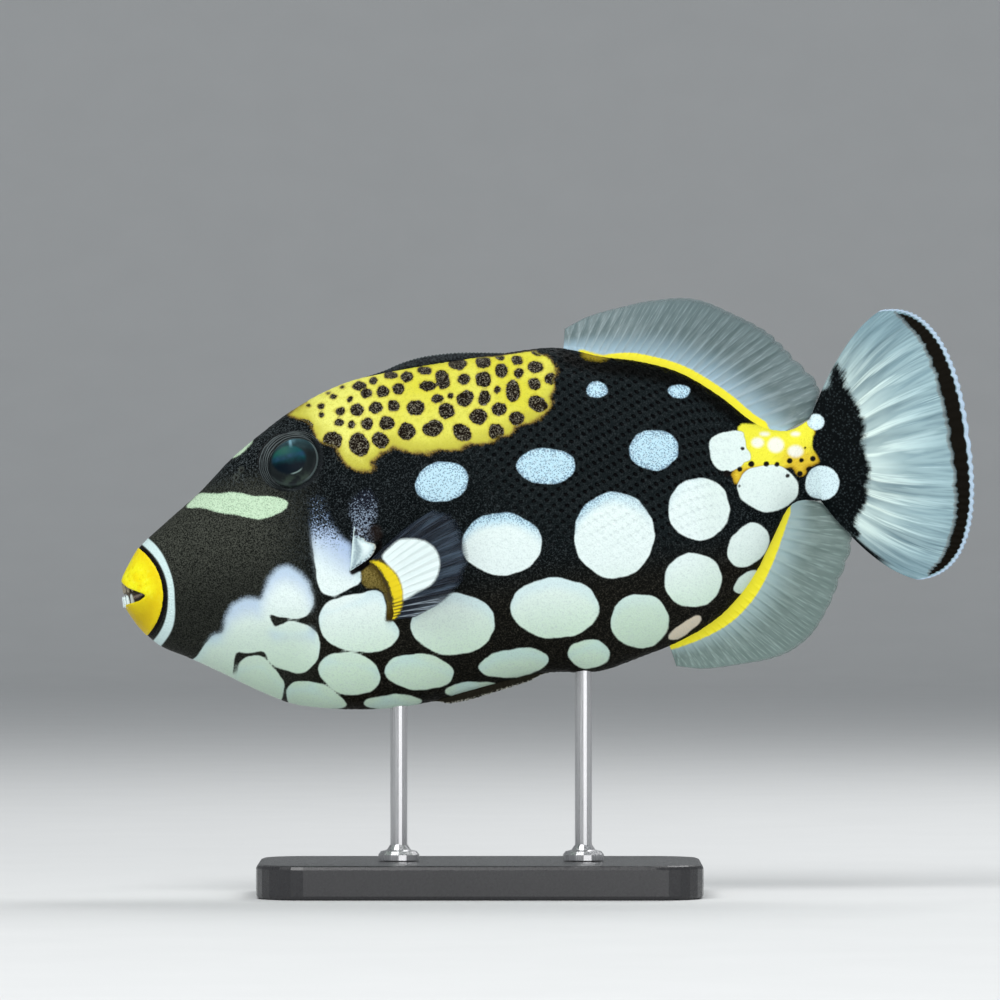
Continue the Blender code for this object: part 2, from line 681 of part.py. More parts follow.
def spine_rings(extra):
    """Sections of the folded spine, grown by a clearance."""
    start, end = SPINE_CREST[0][0], SPINE_CREST[-1][0]
    highest = max(height for _, height in SPINE_CREST)
    rings = []
    for x in evenly(start - extra, end + extra, SPINE_LENGTHS):
        crest = smooth(SPINE_CREST, min(max(x, start), end))
        size = mix(SPINE_END, 1.0, crest / highest)
        wide = SPINE_HALF_WIDTH * size + extra
        tall = SPINE_HALF_HEIGHT * size + extra
        level = smooth(BACK, x) + crest - SPINE_HALF_HEIGHT * size
        ring = []
        for step in range(SPINE_SIDES):
            angle = 2 * math.pi * step / SPINE_SIDES
            ring.append((x, wide * math.cos(angle), level + tall * math.sin(angle)))
        rings.append(ring)
    return rings


def make_first_dorsal(torso, parts, cutters, pose, materials):
    """The spine of the first dorsal fin, folded down into its groove."""
    groove = add_cutter("spine_groove", *loft(spine_rings(GAP)), cutters, pose)
    combine(torso, "DIFFERENCE", groove)
    add_mesh("first_dorsal_fin", *loft(spine_rings(0.0)), parts, materials["skin"], pose)


def make_base(parts, materials):
    """The flat base of the stand, with rounded corners and a softened rim."""
    shape = bmesh.new()
    bmesh.ops.create_cube(shape, size=1.0)
    for vertex in shape.verts:
        vertex.co.z += 0.5
        vertex.co = Vector(part * size * MM for part, size in zip(vertex.co, BASE_SIZE))
    upright = [edge for edge in shape.edges if abs(edge.verts[0].co.z - edge.verts[1].co.z) > MM]
    bmesh.ops.bevel(
        shape, geom=upright, offset=BASE_CORNER * MM, segments=BASE_CORNER_STEPS, profile=0.5,
        affect="EDGES",
    )
    mesh = bpy.data.meshes.new("stand_base")
    shape.to_mesh(mesh)
    shape.free()
    mesh.materials.append(materials["base"])
    base = bpy.data.objects.new("stand_base", mesh)
    parts.objects.link(base)
    rim = base.modifiers.new("rim", "BEVEL")
    rim.width = BASE_EDGE * MM
    rim.segments = 2
    rim.limit_method = "ANGLE"
    rim.angle_limit = SHARP_ANGLE


def make_rods(torso, parts, cutters, pose, materials):
    """Two upright rods from the base into bores in the belly."""
    for name, station in ROD_STATIONS.items():
        belly = pose.matrix_world @ (Vector((station, 0.0, smooth(BELLY, station))) * MM)
        foot = BASE_SIZE[2] + GAP
        top = belly.z / MM + ROD_SUNK
        bore_length = 2 * ROD_SUNK
        bore_middle = (belly.x / MM, 0.0, top + GAP - bore_length / 2)
        bore = round_rod(bore_middle, (0.0, 0.0, 1.0), ROD_RADIUS + GAP, bore_length, ROD_STEPS)
        combine(torso, "DIFFERENCE", add_cutter(f"bore_{name}", *bore, cutters))
        collar = foot + COLLAR_HEIGHT
        profile = [
            (0.0, top), (ROD_RADIUS - ROD_CHAMFER, top), (ROD_RADIUS, top - ROD_CHAMFER),
            (ROD_RADIUS, collar + COLLAR_FLARE[1]), (ROD_RADIUS + COLLAR_FLARE[0], collar),
            (COLLAR_RADIUS - COLLAR_SLOPE[0], collar - COLLAR_SLOPE[1]),
            (COLLAR_RADIUS, foot + COLLAR_RIM), (COLLAR_RADIUS, foot), (0.0, foot),
        ]
        mesh = bpy.data.meshes.new(f"stand_rod_{name}")
        points = [(radius * MM, 0.0, height * MM) for radius, height in profile]
        mesh.from_pydata(points, [(step, step + 1) for step in range(len(profile) - 1)], [])
        mesh.materials.append(materials["rod"])
        rod = bpy.data.objects.new(f"stand_rod_{name}", mesh)
        rod.location.x = belly.x
        parts.objects.link(rod)
        turn = rod.modifiers.new("turn", "SCREW")
        turn.axis = "Z"
        turn.steps = ROD_STEPS
        turn.render_steps = ROD_STEPS
        turn.use_merge_vertices = True
        turn.merge_threshold = 0.00001


def make_materials():
    """One material for each kind of surface."""
    return {
        "skin": make_material("black_skin", (0.02, 0.02, 0.025), 0.45),
        "lips": make_material("yellow_lips", (0.85, 0.62, 0.02), 0.4),
        "eye": make_material("eye", (0.02, 0.05, 0.06), 0.08),
        "flap": make_material("gill_flap", (0.6, 0.68, 0.7), 0.4),
        "fin": make_material("clear_fin", (0.62, 0.7, 0.74), 0.35),
        "caudal": make_material("tail_fin", (0.7, 0.74, 0.7), 0.4),
        "pectoral": make_material("pectoral_fin", (0.3, 0.33, 0.4), 0.35),
        "base": make_material("black_base", (0.03, 0.03, 0.03), 0.3),
        "rod": make_material("steel_rod", (0.6, 0.6, 0.6), 0.3, 1.0),
    }


def main():
    """Clears the scene and builds the fish and its stand."""
    for thing in list(bpy.data.objects):
        bpy.data.objects.remove(thing)
    parts = make_collection("clown_triggerfish")
    cutters = make_collection("cutters")
    materials = make_materials()
    pose = bpy.data.objects.new("fish_pose", None)
    pose.location = Vector(SNOUT_AT) * MM
    pose.rotation_euler = (0.0, -PITCH, 0.0)
    parts.objects.link(pose)
    bpy.context.view_layer.update()

    trunk = make_trunk(parts, cutters, pose, materials)
    make_eyes(trunk["head"], parts, cutters, pose, materials)
    make_nostrils(trunk["head"], cutters, pose)
    make_gills(trunk["torso"], parts, cutters, pose, materials)
    make_first_dorsal(trunk["torso"], parts, cutters, pose, materials)
    make_median_fins(parts, pose, materials)
    make_caudal(parts, pose, materials)
    make_pectorals(parts, pose, materials)
    make_pelvic_flap(parts, pose, materials)
    make_base(parts, materials)
    make_rods(trunk["torso"], parts, cutters, pose, materials)


main()
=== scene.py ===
"""Looks of the clown triggerfish model: skin, fins, eyes, stand, floor, light and camera.

The fish's pieces are worked out level in the fish's own frame, in millimetres: x runs back from the
snout's tip, y to the fish's right, z up. to_world tips them and turns them into metres. Markings
are placed by the photograph's pixels, seen from the camera, and follow the skin round.
"""
import math

import bmesh
import bpy
import numpy as np
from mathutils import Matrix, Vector


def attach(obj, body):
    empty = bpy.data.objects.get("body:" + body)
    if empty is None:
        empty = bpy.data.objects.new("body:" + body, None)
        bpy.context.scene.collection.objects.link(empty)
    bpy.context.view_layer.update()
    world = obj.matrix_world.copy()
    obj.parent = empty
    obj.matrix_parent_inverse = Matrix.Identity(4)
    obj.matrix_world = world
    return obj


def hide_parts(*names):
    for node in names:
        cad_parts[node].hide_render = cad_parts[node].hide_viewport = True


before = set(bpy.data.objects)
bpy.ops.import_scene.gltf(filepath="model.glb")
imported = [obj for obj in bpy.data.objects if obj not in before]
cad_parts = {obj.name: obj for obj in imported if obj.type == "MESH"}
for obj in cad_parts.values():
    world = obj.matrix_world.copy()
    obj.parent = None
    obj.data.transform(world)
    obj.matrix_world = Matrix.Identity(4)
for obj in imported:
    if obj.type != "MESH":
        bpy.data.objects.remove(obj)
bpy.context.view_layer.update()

MM = 0.001
PIXEL = 0.29308  # millimetres of the fish's middle plane in one pixel of the photograph
IMAGE_SIDE = 1000
ORIGIN_PIXEL = (480.0, 895.0)  # the world's origin in the photograph
CAMERA_DISTANCE = 2500.0
SENSOR = 36.0

# Pose and trunk, as in the solids
PITCH = math.radians(8.0)
SNOUT_AT = (-105.2, 0.0, 88.2)
BACK = [
    (0.0, 2.0), (0.8, 4.3), (3.2, 7.8), (7.4, 12.9), (15.7, 18.8), (27.1, 26.4), (37.1, 34.4),
    (47.5, 41.0), (55.9, 45.7), (65.9, 49.9), (75.2, 52.4), (84.2, 53.3), (96.1, 53.9),
    (119.8, 54.2), (131.6, 54.2), (138.3, 53.2), (148.7, 49.4), (160.2, 46.2), (171.3, 41.3),
    (181.9, 32.9), (190.1, 24.4), (195.5, 21.2), (201.0, 20.3), (207.0, 22.6),
]
BELLY = [
    (0.0, -2.0), (0.8, -4.4), (1.8, -6.5), (4.1, -10.6), (9.2, -16.5), (17.4, -21.4),
    (26.1, -27.0), (35.8, -33.5), (44.6, -38.5), (50.3, -40.4), (58.9, -42.3), (67.6, -43.6),
    (76.3, -44.2), (85.0, -43.9), (97.0, -42.3), (109.0, -40.8), (118.0, -40.1), (124.3, -40.5),
    (131.0, -41.6), (137.0, -41.8), (148.1, -39.5), (157.8, -37.2), (166.6, -34.1), (173.0, -30.8),
    (177.9, -27.1), (183.0, -22.2), (188.5, -14.9), (193.3, -7.6), (197.0, -2.4), (201.0, -0.6),
    (207.0, -1.5),
]
HALF_WIDTH = [
    (0.0, 2.6), (0.8, 4.4), (6.0, 8.0), (14.0, 11.2), (25.0, 14.2), (40.0, 17.5), (55.0, 20.2),
    (70.0, 21.6), (85.0, 22.0), (100.0, 22.0), (115.0, 21.0), (130.0, 19.2), (145.0, 16.6),
    (160.0, 13.6), (175.0, 10.4), (188.0, 7.6), (198.0, 5.6), (207.0, 3.0),
]
WAIST = 0.52
UPPER_POWER = 2.2
LOWER_POWER = 1.9
TRUNK_END = 208.6

LIP_STATIONS = [0.0, 0.5, 1.2, 2.2, 3.6, 5.2, 7.0, 9.0, 11.0, 13.0, 15.0, 17.0]
LIP_SIDES = 72
LIP_PROUD = 1.03  # the lips' girth over the trunk's
LIP_ROUNDER_SIDES = 96
LIP_VOXEL = 0.32
CUTTER_HALF = 30.0
LIP_CENTRE = (-3.8, 0.2)
LIP_RADIUS = 16.7
UPPER_LIP_EDGE = [(-6.0, 6.5), (0.4, 3.6), (2.4, 1.5), (5.6, -0.2), (7.8, -1.35)]
LOWER_LIP_EDGE = [(-6.0, -3.9), (0.6, -3.3), (5.2, -2.7), (7.8, -1.35)]
MOUTH = UPPER_LIP_EDGE + LOWER_LIP_EDGE[-2::-1]
MOUTH_LINING = [(1.9, 2.2), (6.5, 0.6), (9.0, -1.3), (6.0, -3.2), (1.5, -3.6)]
MOUTH_LINING_HALF = 3.2

TEETH_IN_ROW = 8
TOOTH_PITCH = 1.3
TOOTH_ROWS = [(3.0, -0.30, 1.3), (-4.0, -0.85, 0.75)]  # root's and edge's height, place of the front
TOOTH_HALF_WIDTH = 0.72
TOOTH_HALF_DEPTH = 0.70
TOOTH_RINGS = 12
TOOTH_SIDES = 20
GUM_RINGS = 90
GUM_SIDES = 20
GUM_FRONT = (2.2, -2.0)  # x and z of the jaw's ridge at the middle of its front
GUM_HALF_SPAN = 3.9
GUM_LENGTH = 5.4
GUM_RADIUS = 0.78

EYE_AT = (55.2, 31.7)
EYE_SIZE = (8.65, 5.0, 8.5)
EYE_SUNK = 1.2
EYE_TILT = math.radians(16.0)
EYE_RINGS = 72
EYE_TURNS = 128
PUPIL_AT = (-0.5, -0.6)
PUPIL_SIZE = (4.7, 4.0)
NOT_HERE = 9.0  # value of the eye's fields on its hidden back
LID_RINGS = 46
LID_TURNS = 200
LID_OUTER = 9.85
LID_INNER = 8.45
LID_DROOP = 3.5  # how far the upper lid's edge comes down over the ball
LID_TURN = math.radians(55.0)
LID_FOLD = 0.16
LID_DEPTH = 2.2

GILL_SLIT = [(68.4, -2.9), (71.0, -2.0), (74.2, -0.4), (76.8, 2.8), (78.7, 6.4), (80.2, 10.6)]
FLAP_FRONT_X = [(0.0, 71.1), (0.5, 69.4), (1.0, 67.8)]
FLAP_FRONT_Z = [(0.0, 11.6), (0.5, 4.6), (1.0, -2.6)]
FLAP_REAR_X = [(0.0, 74.3), (0.3, 73.2), (0.45, 73.6), (0.62, 76.3), (0.8, 74.2), (1.0, 68.2)]
FLAP_REAR_Z = [(0.0, 11.0), (0.3, 7.2), (0.45, 5.4), (0.62, 3.9), (0.8, 0.6), (1.0, -2.4)]
FLAP_ROWS = 30
FLAP_FOLD = 0.16

DORSAL_RAYS = 26
DORSAL_GUIDES = [
    (0.00, 138.4, (139.6, 59.0)), (0.07, 142.4, (146.8, 61.6)), (0.16, 146.9, (155.9, 62.9)),
    (0.30, 154.6, (166.5, 63.6)), (0.46, 163.4, (178.5, 62.2)), (0.62, 172.2, (190.2, 55.6)),
    (0.74, 177.6, (199.2, 49.1)), (0.84, 182.6, (204.9, 41.6)), (0.92, 187.6, (211.1, 32.8)),
    (0.96, 192.6, (210.7, 28.1)), (1.00, 199.5, (207.2, 22.8)),
]
ANAL_RAYS = 22
ANAL_GUIDES = [
    (0.00, 157.1, (158.2, -43.6)), (0.08, 161.0, (165.6, -45.4)), (0.20, 167.4, (175.3, -45.7)),
    (0.38, 174.4, (188.2, -45.0)), (0.52, 179.6, (196.2, -41.8)), (0.64, 184.0, (202.0, -36.6)),
    (0.76, 189.0, (208.8, -26.6)), (0.88, 193.4, (214.8, -13.4)), (0.95, 196.4, (211.8, -6.2)),
    (1.00, 202.0, (207.3, -1.6)),
]
DORSAL_WAVE = 3.2
ANAL_WAVE = 2.2
ANAL_SET = 3.0

CAUDAL_ROOT = 207.0
CAUDAL_FLESH = 206.7  # the trunk's section here sets how thick the fin's fleshy root is
CAUDAL_TOP = 22.5
CAUDAL_BOTTOM = -1.6
CAUDAL_RAYS = 12
CAUDAL_AXIS = 11.5
CAUDAL_SPREAD = 40.0
CAUDAL_CORNER = 232.3
CAUDAL_REAR = 20.6
CAUDAL_POWER = 2.5
CAUDAL_BULGE = 9.0

PECTORAL_RAYS = 13
PECTORAL_GUIDES = [
    (0.0, (73.8, -0.6), (95.5, 12.2)), (0.2, (75.0, -4.2), (101.2, 8.0)),
    (0.4, (76.2, -7.8), (102.6, 0.8)), (0.6, (77.1, -11.4), (102.0, -6.6)),
    (0.8, (77.7, -14.9), (95.5, -14.2)), (1.0, (77.8, -18.3), (85.0, -18.4)),
]
PECTORAL_SWING = {"left": math.radians(24.0), "right": math.radians(28.0)}
PELVIC_EDGE = [
    (86.0, -45.0), (91.0, -45.4), (97.0, -45.1), (103.0, -44.2), (109.0, -43.2), (115.2, -42.2),
    (121.0, -41.3),
]
SPINE_SPAN = (80.0, 121.0)
SPINE_CREST = [  # height above the back
    (80.0, 0.1), (85.8, 0.85), (90.4, 1.9), (96.4, 2.65), (102.4, 2.65), (108.3, 2.2), (114.1, 1.35),
    (121.0, 0.2),
]
SPINE_HALF_WIDTH = 1.7
SPINE_HALF_HEIGHT = 1.9
SIDES = {"left": -1.0, "right": 1.0}

# White spots in pixels: centre, half sizes and tilt in degrees, up to the right positive
WHITE_SPOTS = [
    (442, 482, 27, 20, 12), (546, 466, 29, 18, 0), (654, 450, 25, 20, 0), (597, 390, 11, 8, 0),
    (679, 391, 11, 7, 0), (502, 544, 40, 31, 0), (614, 535, 40, 43, 0), (699, 509, 31, 31, 0),
    (693, 580, 29, 27, 0), (748, 545, 24, 18, 48), (746, 582, 15, 8, 40), (555, 608, 44, 30, 0),
    (640, 621, 29, 27, 0), (453, 624, 42, 31, 0), (589, 654, 21, 14, 0), (514, 663, 35, 14, 8),
    (419, 672, 34, 18, -3), (472, 689, 27, 7, 4), (349.5, 673.5, 31, 21, -12), (393, 702, 29, 7, 3),
    (685, 628, 20, 6, 32), (768, 488, 30, 23.3, 0), (822, 483, 17, 17, 0), (815.5, 422, 8.5, 8, 0),
]
STEM_LIGHTS = [
    (764.7, 434, 4.7, 2, 0), (757.6, 442.6, 6, 5, 0), (775.8, 445, 8, 7.6, 0),
    (795.5, 451.3, 7.6, 6, 0), (795.5, 434, 4.4, 2.2, 0),
]
SADDLE = [
    (288, 413), (320, 394), (350, 380), (375, 370), (400, 360), (420, 350), (460, 340), (528, 335),
    (532, 345), (538, 353), (547, 355), (552, 362), (557, 372), (554, 380), (555, 388), (550, 396),
    (552, 404), (546, 414), (537, 420), (527, 424), (515, 429), (508, 436), (499, 438), (489, 443),
    (477, 445), (468, 446), (456, 450), (441, 451), (430, 454), (420, 453), (409, 452), (400, 449),
    (392, 446), (388, 452), (378, 456), (372, 462), (374, 470), (366, 471), (357, 470), (346, 464),
    (338, 456), (335, 447), (328, 445), (318, 441), (315, 435), (311, 429), (307, 423), (298, 419),
]


def smooth(knots, x):
    """Values at x of a smooth curve through (x, value) knots."""
    table = np.array([(knot[0], knot[1]) for knot in knots], float)
    places, values = table[:, 0], table[:, 1]
    slopes = np.empty(len(places))
    slopes[1:-1] = (values[2:] - values[:-2]) / (places[2:] - places[:-2])
    slopes[0] = (values[1] - values[0]) / (places[1] - places[0])
    slopes[-1] = (values[-1] - values[-2]) / (places[-1] - places[-2])
    x = np.asarray(x, float)
    first = np.clip(np.searchsorted(places, x, side="right") - 1, 0, len(places) - 2)
    length = places[first + 1] - places[first]
    t = (x - places[first]) / length
    value = (2 * t ** 3 - 3 * t ** 2 + 1) * values[first]
    value = value + (3 * t ** 2 - 2 * t ** 3) * values[first + 1]
    lean = (t ** 3 - 2 * t ** 2 + t) * slopes[first] + (t ** 3 - t ** 2) * slopes[first + 1]
    return value + length * lean


def fade(x, start, end):
    """Smooth rise from 0 at start to 1 at end."""
    t = np.clip((np.asarray(x, float) - start) / (end - start), 0.0, 1.0)
    return t * t * (3 - 2 * t)


def flank(x, z):
    """Half width of the trunk at points of its side view."""
    top, bottom = smooth(BACK, x), smooth(BELLY, x)
    middle = bottom + WAIST * (top - bottom)
    above = z > middle
    power = np.where(above, UPPER_POWER, LOWER_POWER)
    reach = np.where(above, top - middle, middle - bottom)
    share = np.clip(np.abs(z - middle) / reach, 0.0, 1.0)
    return smooth(HALF_WIDTH, x) * (1 - share ** power) ** (1 / power)


def to_world(points):
    """Points of the fish's frame, in millimetres, as metres in the world."""
    points = np.asarray(points, float)
    cosine, sine = math.cos(PITCH), math.sin(PITCH)
    x = SNOUT_AT[0] + points[..., 0] * cosine - points[..., 2] * sine
    z = SNOUT_AT[2] + points[..., 0] * sine + points[..., 2] * cosine
    return np.stack([x, points[..., 1], z], axis=-1) * MM


CAMERA_AT = (
    (IMAGE_SIDE / 2 - ORIGIN_PIXEL[0]) * PIXEL,
    -CAMERA_DISTANCE,
    (ORIGIN_PIXEL[1] - IMAGE_SIDE / 2) * PIXEL,
)


def photo_place(points):
    """Pixels at which the camera sees points of the fish's frame, given on its left side."""
    world = to_world(points) / MM
    near = CAMERA_DISTANCE / (CAMERA_DISTANCE + world[..., 1])
    across = IMAGE_SIDE / 2 + (world[..., 0] - CAMERA_AT[0]) * near / PIXEL
    down = IMAGE_SIDE / 2 - (world[..., 2] - CAMERA_AT[2]) * near / PIXEL
    return np.stack([across, down], axis=-1)


def marking_place(points):
    """Pixels for the markings: the left side as photographed, the right side its loose mirror."""
    points = np.asarray(points, float)
    mirrored = points.copy()
    mirrored[..., 1] = -np.abs(points[..., 1])
    place = photo_place(mirrored)
    loose = fade(points[..., 1], 3.0, 12.0)
    across = 7.0 * np.sin(place[..., 1] / 33.0 + 1.3) + 4.0 * np.sin(place[..., 0] / 57.0)
    down = 6.0 * np.sin(place[..., 0] / 41.0 + 0.7)
    place[..., 0] += loose * across
    place[..., 1] += loose * down
    return place


def inside_ellipse(place, spot):
    """Pixels from the edge of a tilted ellipse, positive inside."""
    x, y, wide, tall, tilt = spot
    turn = math.radians(-tilt)
    dx, dy = place[..., 0] - x, place[..., 1] - y
    a = dx * math.cos(turn) + dy * math.sin(turn)
    b = dy * math.cos(turn) - dx * math.sin(turn)
    ring = np.hypot(a / wide, b / tall)
    steep = np.maximum(np.hypot(a / wide ** 2, b / tall ** 2), 1e-6)
    return -ring * (ring - 1.0) / steep


def from_stretch(x, y, start, end):
    """Distance of points from a straight stretch."""
    run = end - start
    along = ((x - start[0]) * run[0] + (y - start[1]) * run[1]) / max(run @ run, 1e-9)
    along = np.clip(along, 0.0, 1.0)
    return np.hypot(x - start[0] - along * run[0], y - start[1] - along * run[1])


def inside_outline(place, outline):
    """Pixels from the edge of a polygon, positive inside."""
    corners = np.array(outline, float)
    x, y = place[..., 0], place[..., 1]
    nearest = np.full(x.shape, 1e9)
    inside = np.zeros(x.shape, bool)
    for start, end in zip(corners, np.roll(corners, -1, axis=0)):
        nearest = np.minimum(nearest, from_stretch(x, y, start, end))
        if start[1] != end[1]:
            crosses = (start[1] > y) != (end[1] > y)
            edge = start[0] + (y - start[1]) / (end[1] - start[1]) * (end[0] - start[0])
            inside ^= crosses & (x < edge)
    return np.where(inside, nearest, -nearest)


def rounded(outline, steps=5):
    """A polygon's outline drawn as a smooth closed curve through its corners."""
    corners = np.array(outline, float)
    before, after, later = (np.roll(corners, -shift, axis=0) for shift in (-1, 1, 2))
    t = (np.arange(steps) / steps)[None, :, None]
    a, b, c, d = (part[:, None, :] for part in (before, corners, after, later))
    curve = b + 0.5 * t * (c - a + t * (2 * a - 5 * b + 4 * c - d + t * (3 * (b - c) + d - a)))
    return curve.reshape(-1, 2)


def inside_curve(place, outline):
    """Pixels from the edge of a smooth closed curve, positive inside."""
    return inside_outline(place, rounded(outline))


def near_line(place, line, half):
    """How far points are inside a band of given half width along a line."""
    x, y = place[..., 0], place[..., 1]
    nearest = np.full(x.shape, 1e9)
    corners = np.array(line, float)
    for start, end in zip(corners[:-1], corners[1:]):
        nearest = np.minimum(nearest, from_stretch(x, y, start, end))
    return half - nearest


def wobble(place, size, length, seed):
    """A gentle, repeatable wander of the markings' outlines."""
    rng = np.random.default_rng(seed)
    moved = place.copy()
    for axis in (0, 1):
        for turn in range(3):
            heading = rng.uniform(0, 2 * math.pi)
            scale = length / (1 + turn)
            phase = rng.uniform(0, 2 * math.pi)
            wave = np.cos(heading) * place[..., 0] + np.sin(heading) * place[..., 1]
            moved[..., axis] += size / (1 + turn) * np.sin(2 * math.pi * wave / scale + phase)
    return moved


def link(name, data):
    """A new object in the scene."""
    thing = bpy.data.objects.new(name, data)
    bpy.context.scene.collection.objects.link(thing)
    return thing


def set_fields(mesh, fields):
    """Keeps a number per vertex in each field, for the materials."""
    for field, values in fields.items():
        layer = mesh.attributes.new(field, "FLOAT", "POINT")
        layer.data.foreach_set("value", np.ascontiguousarray(values, np.float32).ravel())


def add_piece(name, points, faces, fields=None):
    """A smooth-shaded object from points of the fish's frame."""
    mesh = bpy.data.meshes.new(name)
    mesh.from_pydata(to_world(points).tolist(), [], faces)
    mesh.update()
    set_fields(mesh, fields or {})
    mesh.shade_smooth()
    return link(name, mesh)


def unit_grid(rows, columns):
    """Shares 0 to 1 along a grid's rows and down its columns."""
    return np.linspace(0.0, 1.0, columns)[None, :], np.linspace(0.0, 1.0, rows)[:, None]


def grid_faces(rows, columns, closed):
    """Quads of a grid of points, whose columns may close on themselves."""
    across = columns if closed else columns - 1
    row = np.arange(rows - 1)[:, None] * columns
    here = np.arange(across)[None, :]
    after = (here + 1) % columns
    quads = np.stack([row + here, row + after, row + columns + after, row + columns + here], axis=-1)
    return quads.reshape(-1, 4)


def capped_tube(grid, lead=0.0, trail=0.0):
    """Points and faces of a tube of rings, closed with a point at each end, moved along x."""
    rows, columns = grid.shape[:2]
    ends = []
    for end, shift in ((0, lead), (-1, trail)):
        ends.append(grid[end].mean(axis=0) + np.array([shift, 0.0, 0.0]))
    faces = grid_faces(rows, columns, True).tolist()
    last = (rows - 1) * columns
    for column in range(columns):
        after = (column + 1) % columns
        faces.append([after, column, rows * columns])
        faces.append([last + column, last + after, rows * columns + 1])
    return np.vstack([grid.reshape(-1, 3), ends]), faces


def outward(thing, merge=0.0):
    """Turns all faces of a closed piece outwards, its points closer than merge made one."""
    shape = bmesh.new()
    shape.from_mesh(thing.data)
    if merge:
        bmesh.ops.remove_doubles(shape, verts=shape.verts, dist=merge)
    bmesh.ops.recalc_face_normals(shape, faces=shape.faces)
    shape.to_mesh(thing.data)
    shape.free()


def grid_normals(grid, closed):
    """Unit normals of a grid of points, rows along and columns round."""
    along = np.gradient(grid, axis=0)
    if closed:
        across = np.roll(grid, -1, axis=1) - np.roll(grid, 1, axis=1)
    else:
        across = np.gradient(grid, axis=1)
    normals = np.cross(along, across)
    return normals / np.maximum(np.linalg.norm(normals, axis=-1, keepdims=True), 1e-9)


class Looks:
    """A material's nodes, made by short calls."""

    def __init__(self, name):
        self.material = bpy.data.materials.new(name)
        self.material.use_nodes = True
        self.tree = self.material.node_tree
        self.shader = self.tree.nodes["Principled BSDF"]

    def put(self, socket, value):
        """Links a socket, or sets a number or colour on it."""
        if hasattr(value, "is_linked"):
            self.tree.links.new(value, socket)
        elif isinstance(value, tuple) and len(value) == 3 and socket.type == "RGBA":
            socket.default_value = (*value, 1.0)
        else:
            socket.default_value = value

    def field(self, name):
        """A per-vertex number."""
        node = self.tree.nodes.new("ShaderNodeAttribute")
        node.attribute_name = name
        return node.outputs["Fac"]

    def sum(self, operation, a, b=0.0, c=0.0):
        """A Math node; the next seven methods are short names for it."""
        node = self.tree.nodes.new("ShaderNodeMath")
        node.operation = operation
        for socket, value in zip(node.inputs, (a, b, c)):
            self.put(socket, value)
        return node.outputs[0]

    def times(self, a, b):
        """a times b."""
        return self.sum("MULTIPLY", a, b)

    def scaled(self, a, b, c):
        """a times b, plus c."""
        return self.sum("MULTIPLY_ADD", a, b, c)

    def plus(self, a, b):
        """a plus b."""
        return self.sum("ADD", a, b)

    def less(self, a, b):
        """a less b."""
        return self.sum("SUBTRACT", a, b)

    def most(self, a, b):
        """The larger of a and b."""
        return self.sum("MAXIMUM", a, b)

    def size(self, a):
        """a without its sign."""
        return self.sum("ABSOLUTE", a)

    def away(self, a, b):
        """How far a is from b."""
        return self.size(self.less(a, b))

    def step(self, value, start, end, low=0.0, high=1.0):
        """Smooth rise between two values."""
        node = self.tree.nodes.new("ShaderNodeMapRange")
        node.interpolation_type = "SMOOTHSTEP"
        for name, number in (("From Min", start), ("From Max", end), ("To Min", low), ("To Max", high)):
            self.put(node.inputs[name], number)
        self.put(node.inputs["Value"], value)
        return node.outputs[0]

    def blend(self, share, a, b):
        """A colour between two."""
        node = self.tree.nodes.new("ShaderNodeMix")
        node.data_type = "RGBA"
        self.put(node.inputs[0], share)
        self.put(node.inputs[6], a)
        self.put(node.inputs[7], b)
        return node.outputs[2]

    def place(self):
        """Coordinates in metres, fixed to the model."""
        return self.tree.nodes.new("ShaderNodeTexCoord").outputs["Object"]

    def grain(self, size, detail=2.0, rough=0.5, stretch=None):
        """Noise whose blotches have a size in millimetres."""
        node = self.tree.nodes.new("ShaderNodeTexNoise")
        place = self.place()
        if stretch:
            scale = self.tree.nodes.new("ShaderNodeMapping")
            scale.inputs["Scale"].default_value = stretch
            self.tree.links.new(place, scale.inputs["Vector"])
            place = scale.outputs[0]
        self.tree.links.new(place, node.inputs["Vector"])
        node.inputs["Scale"].default_value = 1.0 / (size * MM)
        node.inputs["Detail"].default_value = detail
        node.inputs["Roughness"].default_value = rough
        return node.outputs["Fac"]

    def strands(self, wide, long):
        """Streaks along a fin's rays: width in rays, length in shares of the ray."""
        join = self.tree.nodes.new("ShaderNodeCombineXYZ")
        self.put(join.inputs[0], self.times(self.field("strand"), wide))
        self.put(join.inputs[1], self.times(self.field("out"), long))
        node = self.tree.nodes.new("ShaderNodeTexNoise")
        self.tree.links.new(join.outputs[0], node.inputs["Vector"])
        node.inputs["Scale"].default_value = 1.0
        node.inputs["Detail"].default_value = 3.0
        return node.outputs["Fac"]

    def cells(self, size):
        """Distance in a Voronoi pattern whose cells have a size in millimetres."""
        node = self.tree.nodes.new("ShaderNodeTexVoronoi")
        self.tree.links.new(self.place(), node.inputs["Vector"])
        node.inputs["Scale"].default_value = 1.0 / (size * MM)
        return node.outputs["Distance"]

    def bump(self, height, strength, distance, under=None):
        """A Bump node, its distance in millimetres."""
        node = self.tree.nodes.new("ShaderNodeBump")
        self.put(node.inputs["Strength"], strength)
        node.inputs["Distance"].default_value = distance * MM
        self.put(node.inputs["Height"], height)
        if under is not None:
            self.put(node.inputs["Normal"], under)
        return node.outputs["Normal"]

    def finish(self, **sockets):
        """Sets the shader's sockets and returns the material."""
        for name, value in sockets.items():
            self.put(self.shader.inputs[name.replace("_", " ")], value)
        return self.material


# Skin

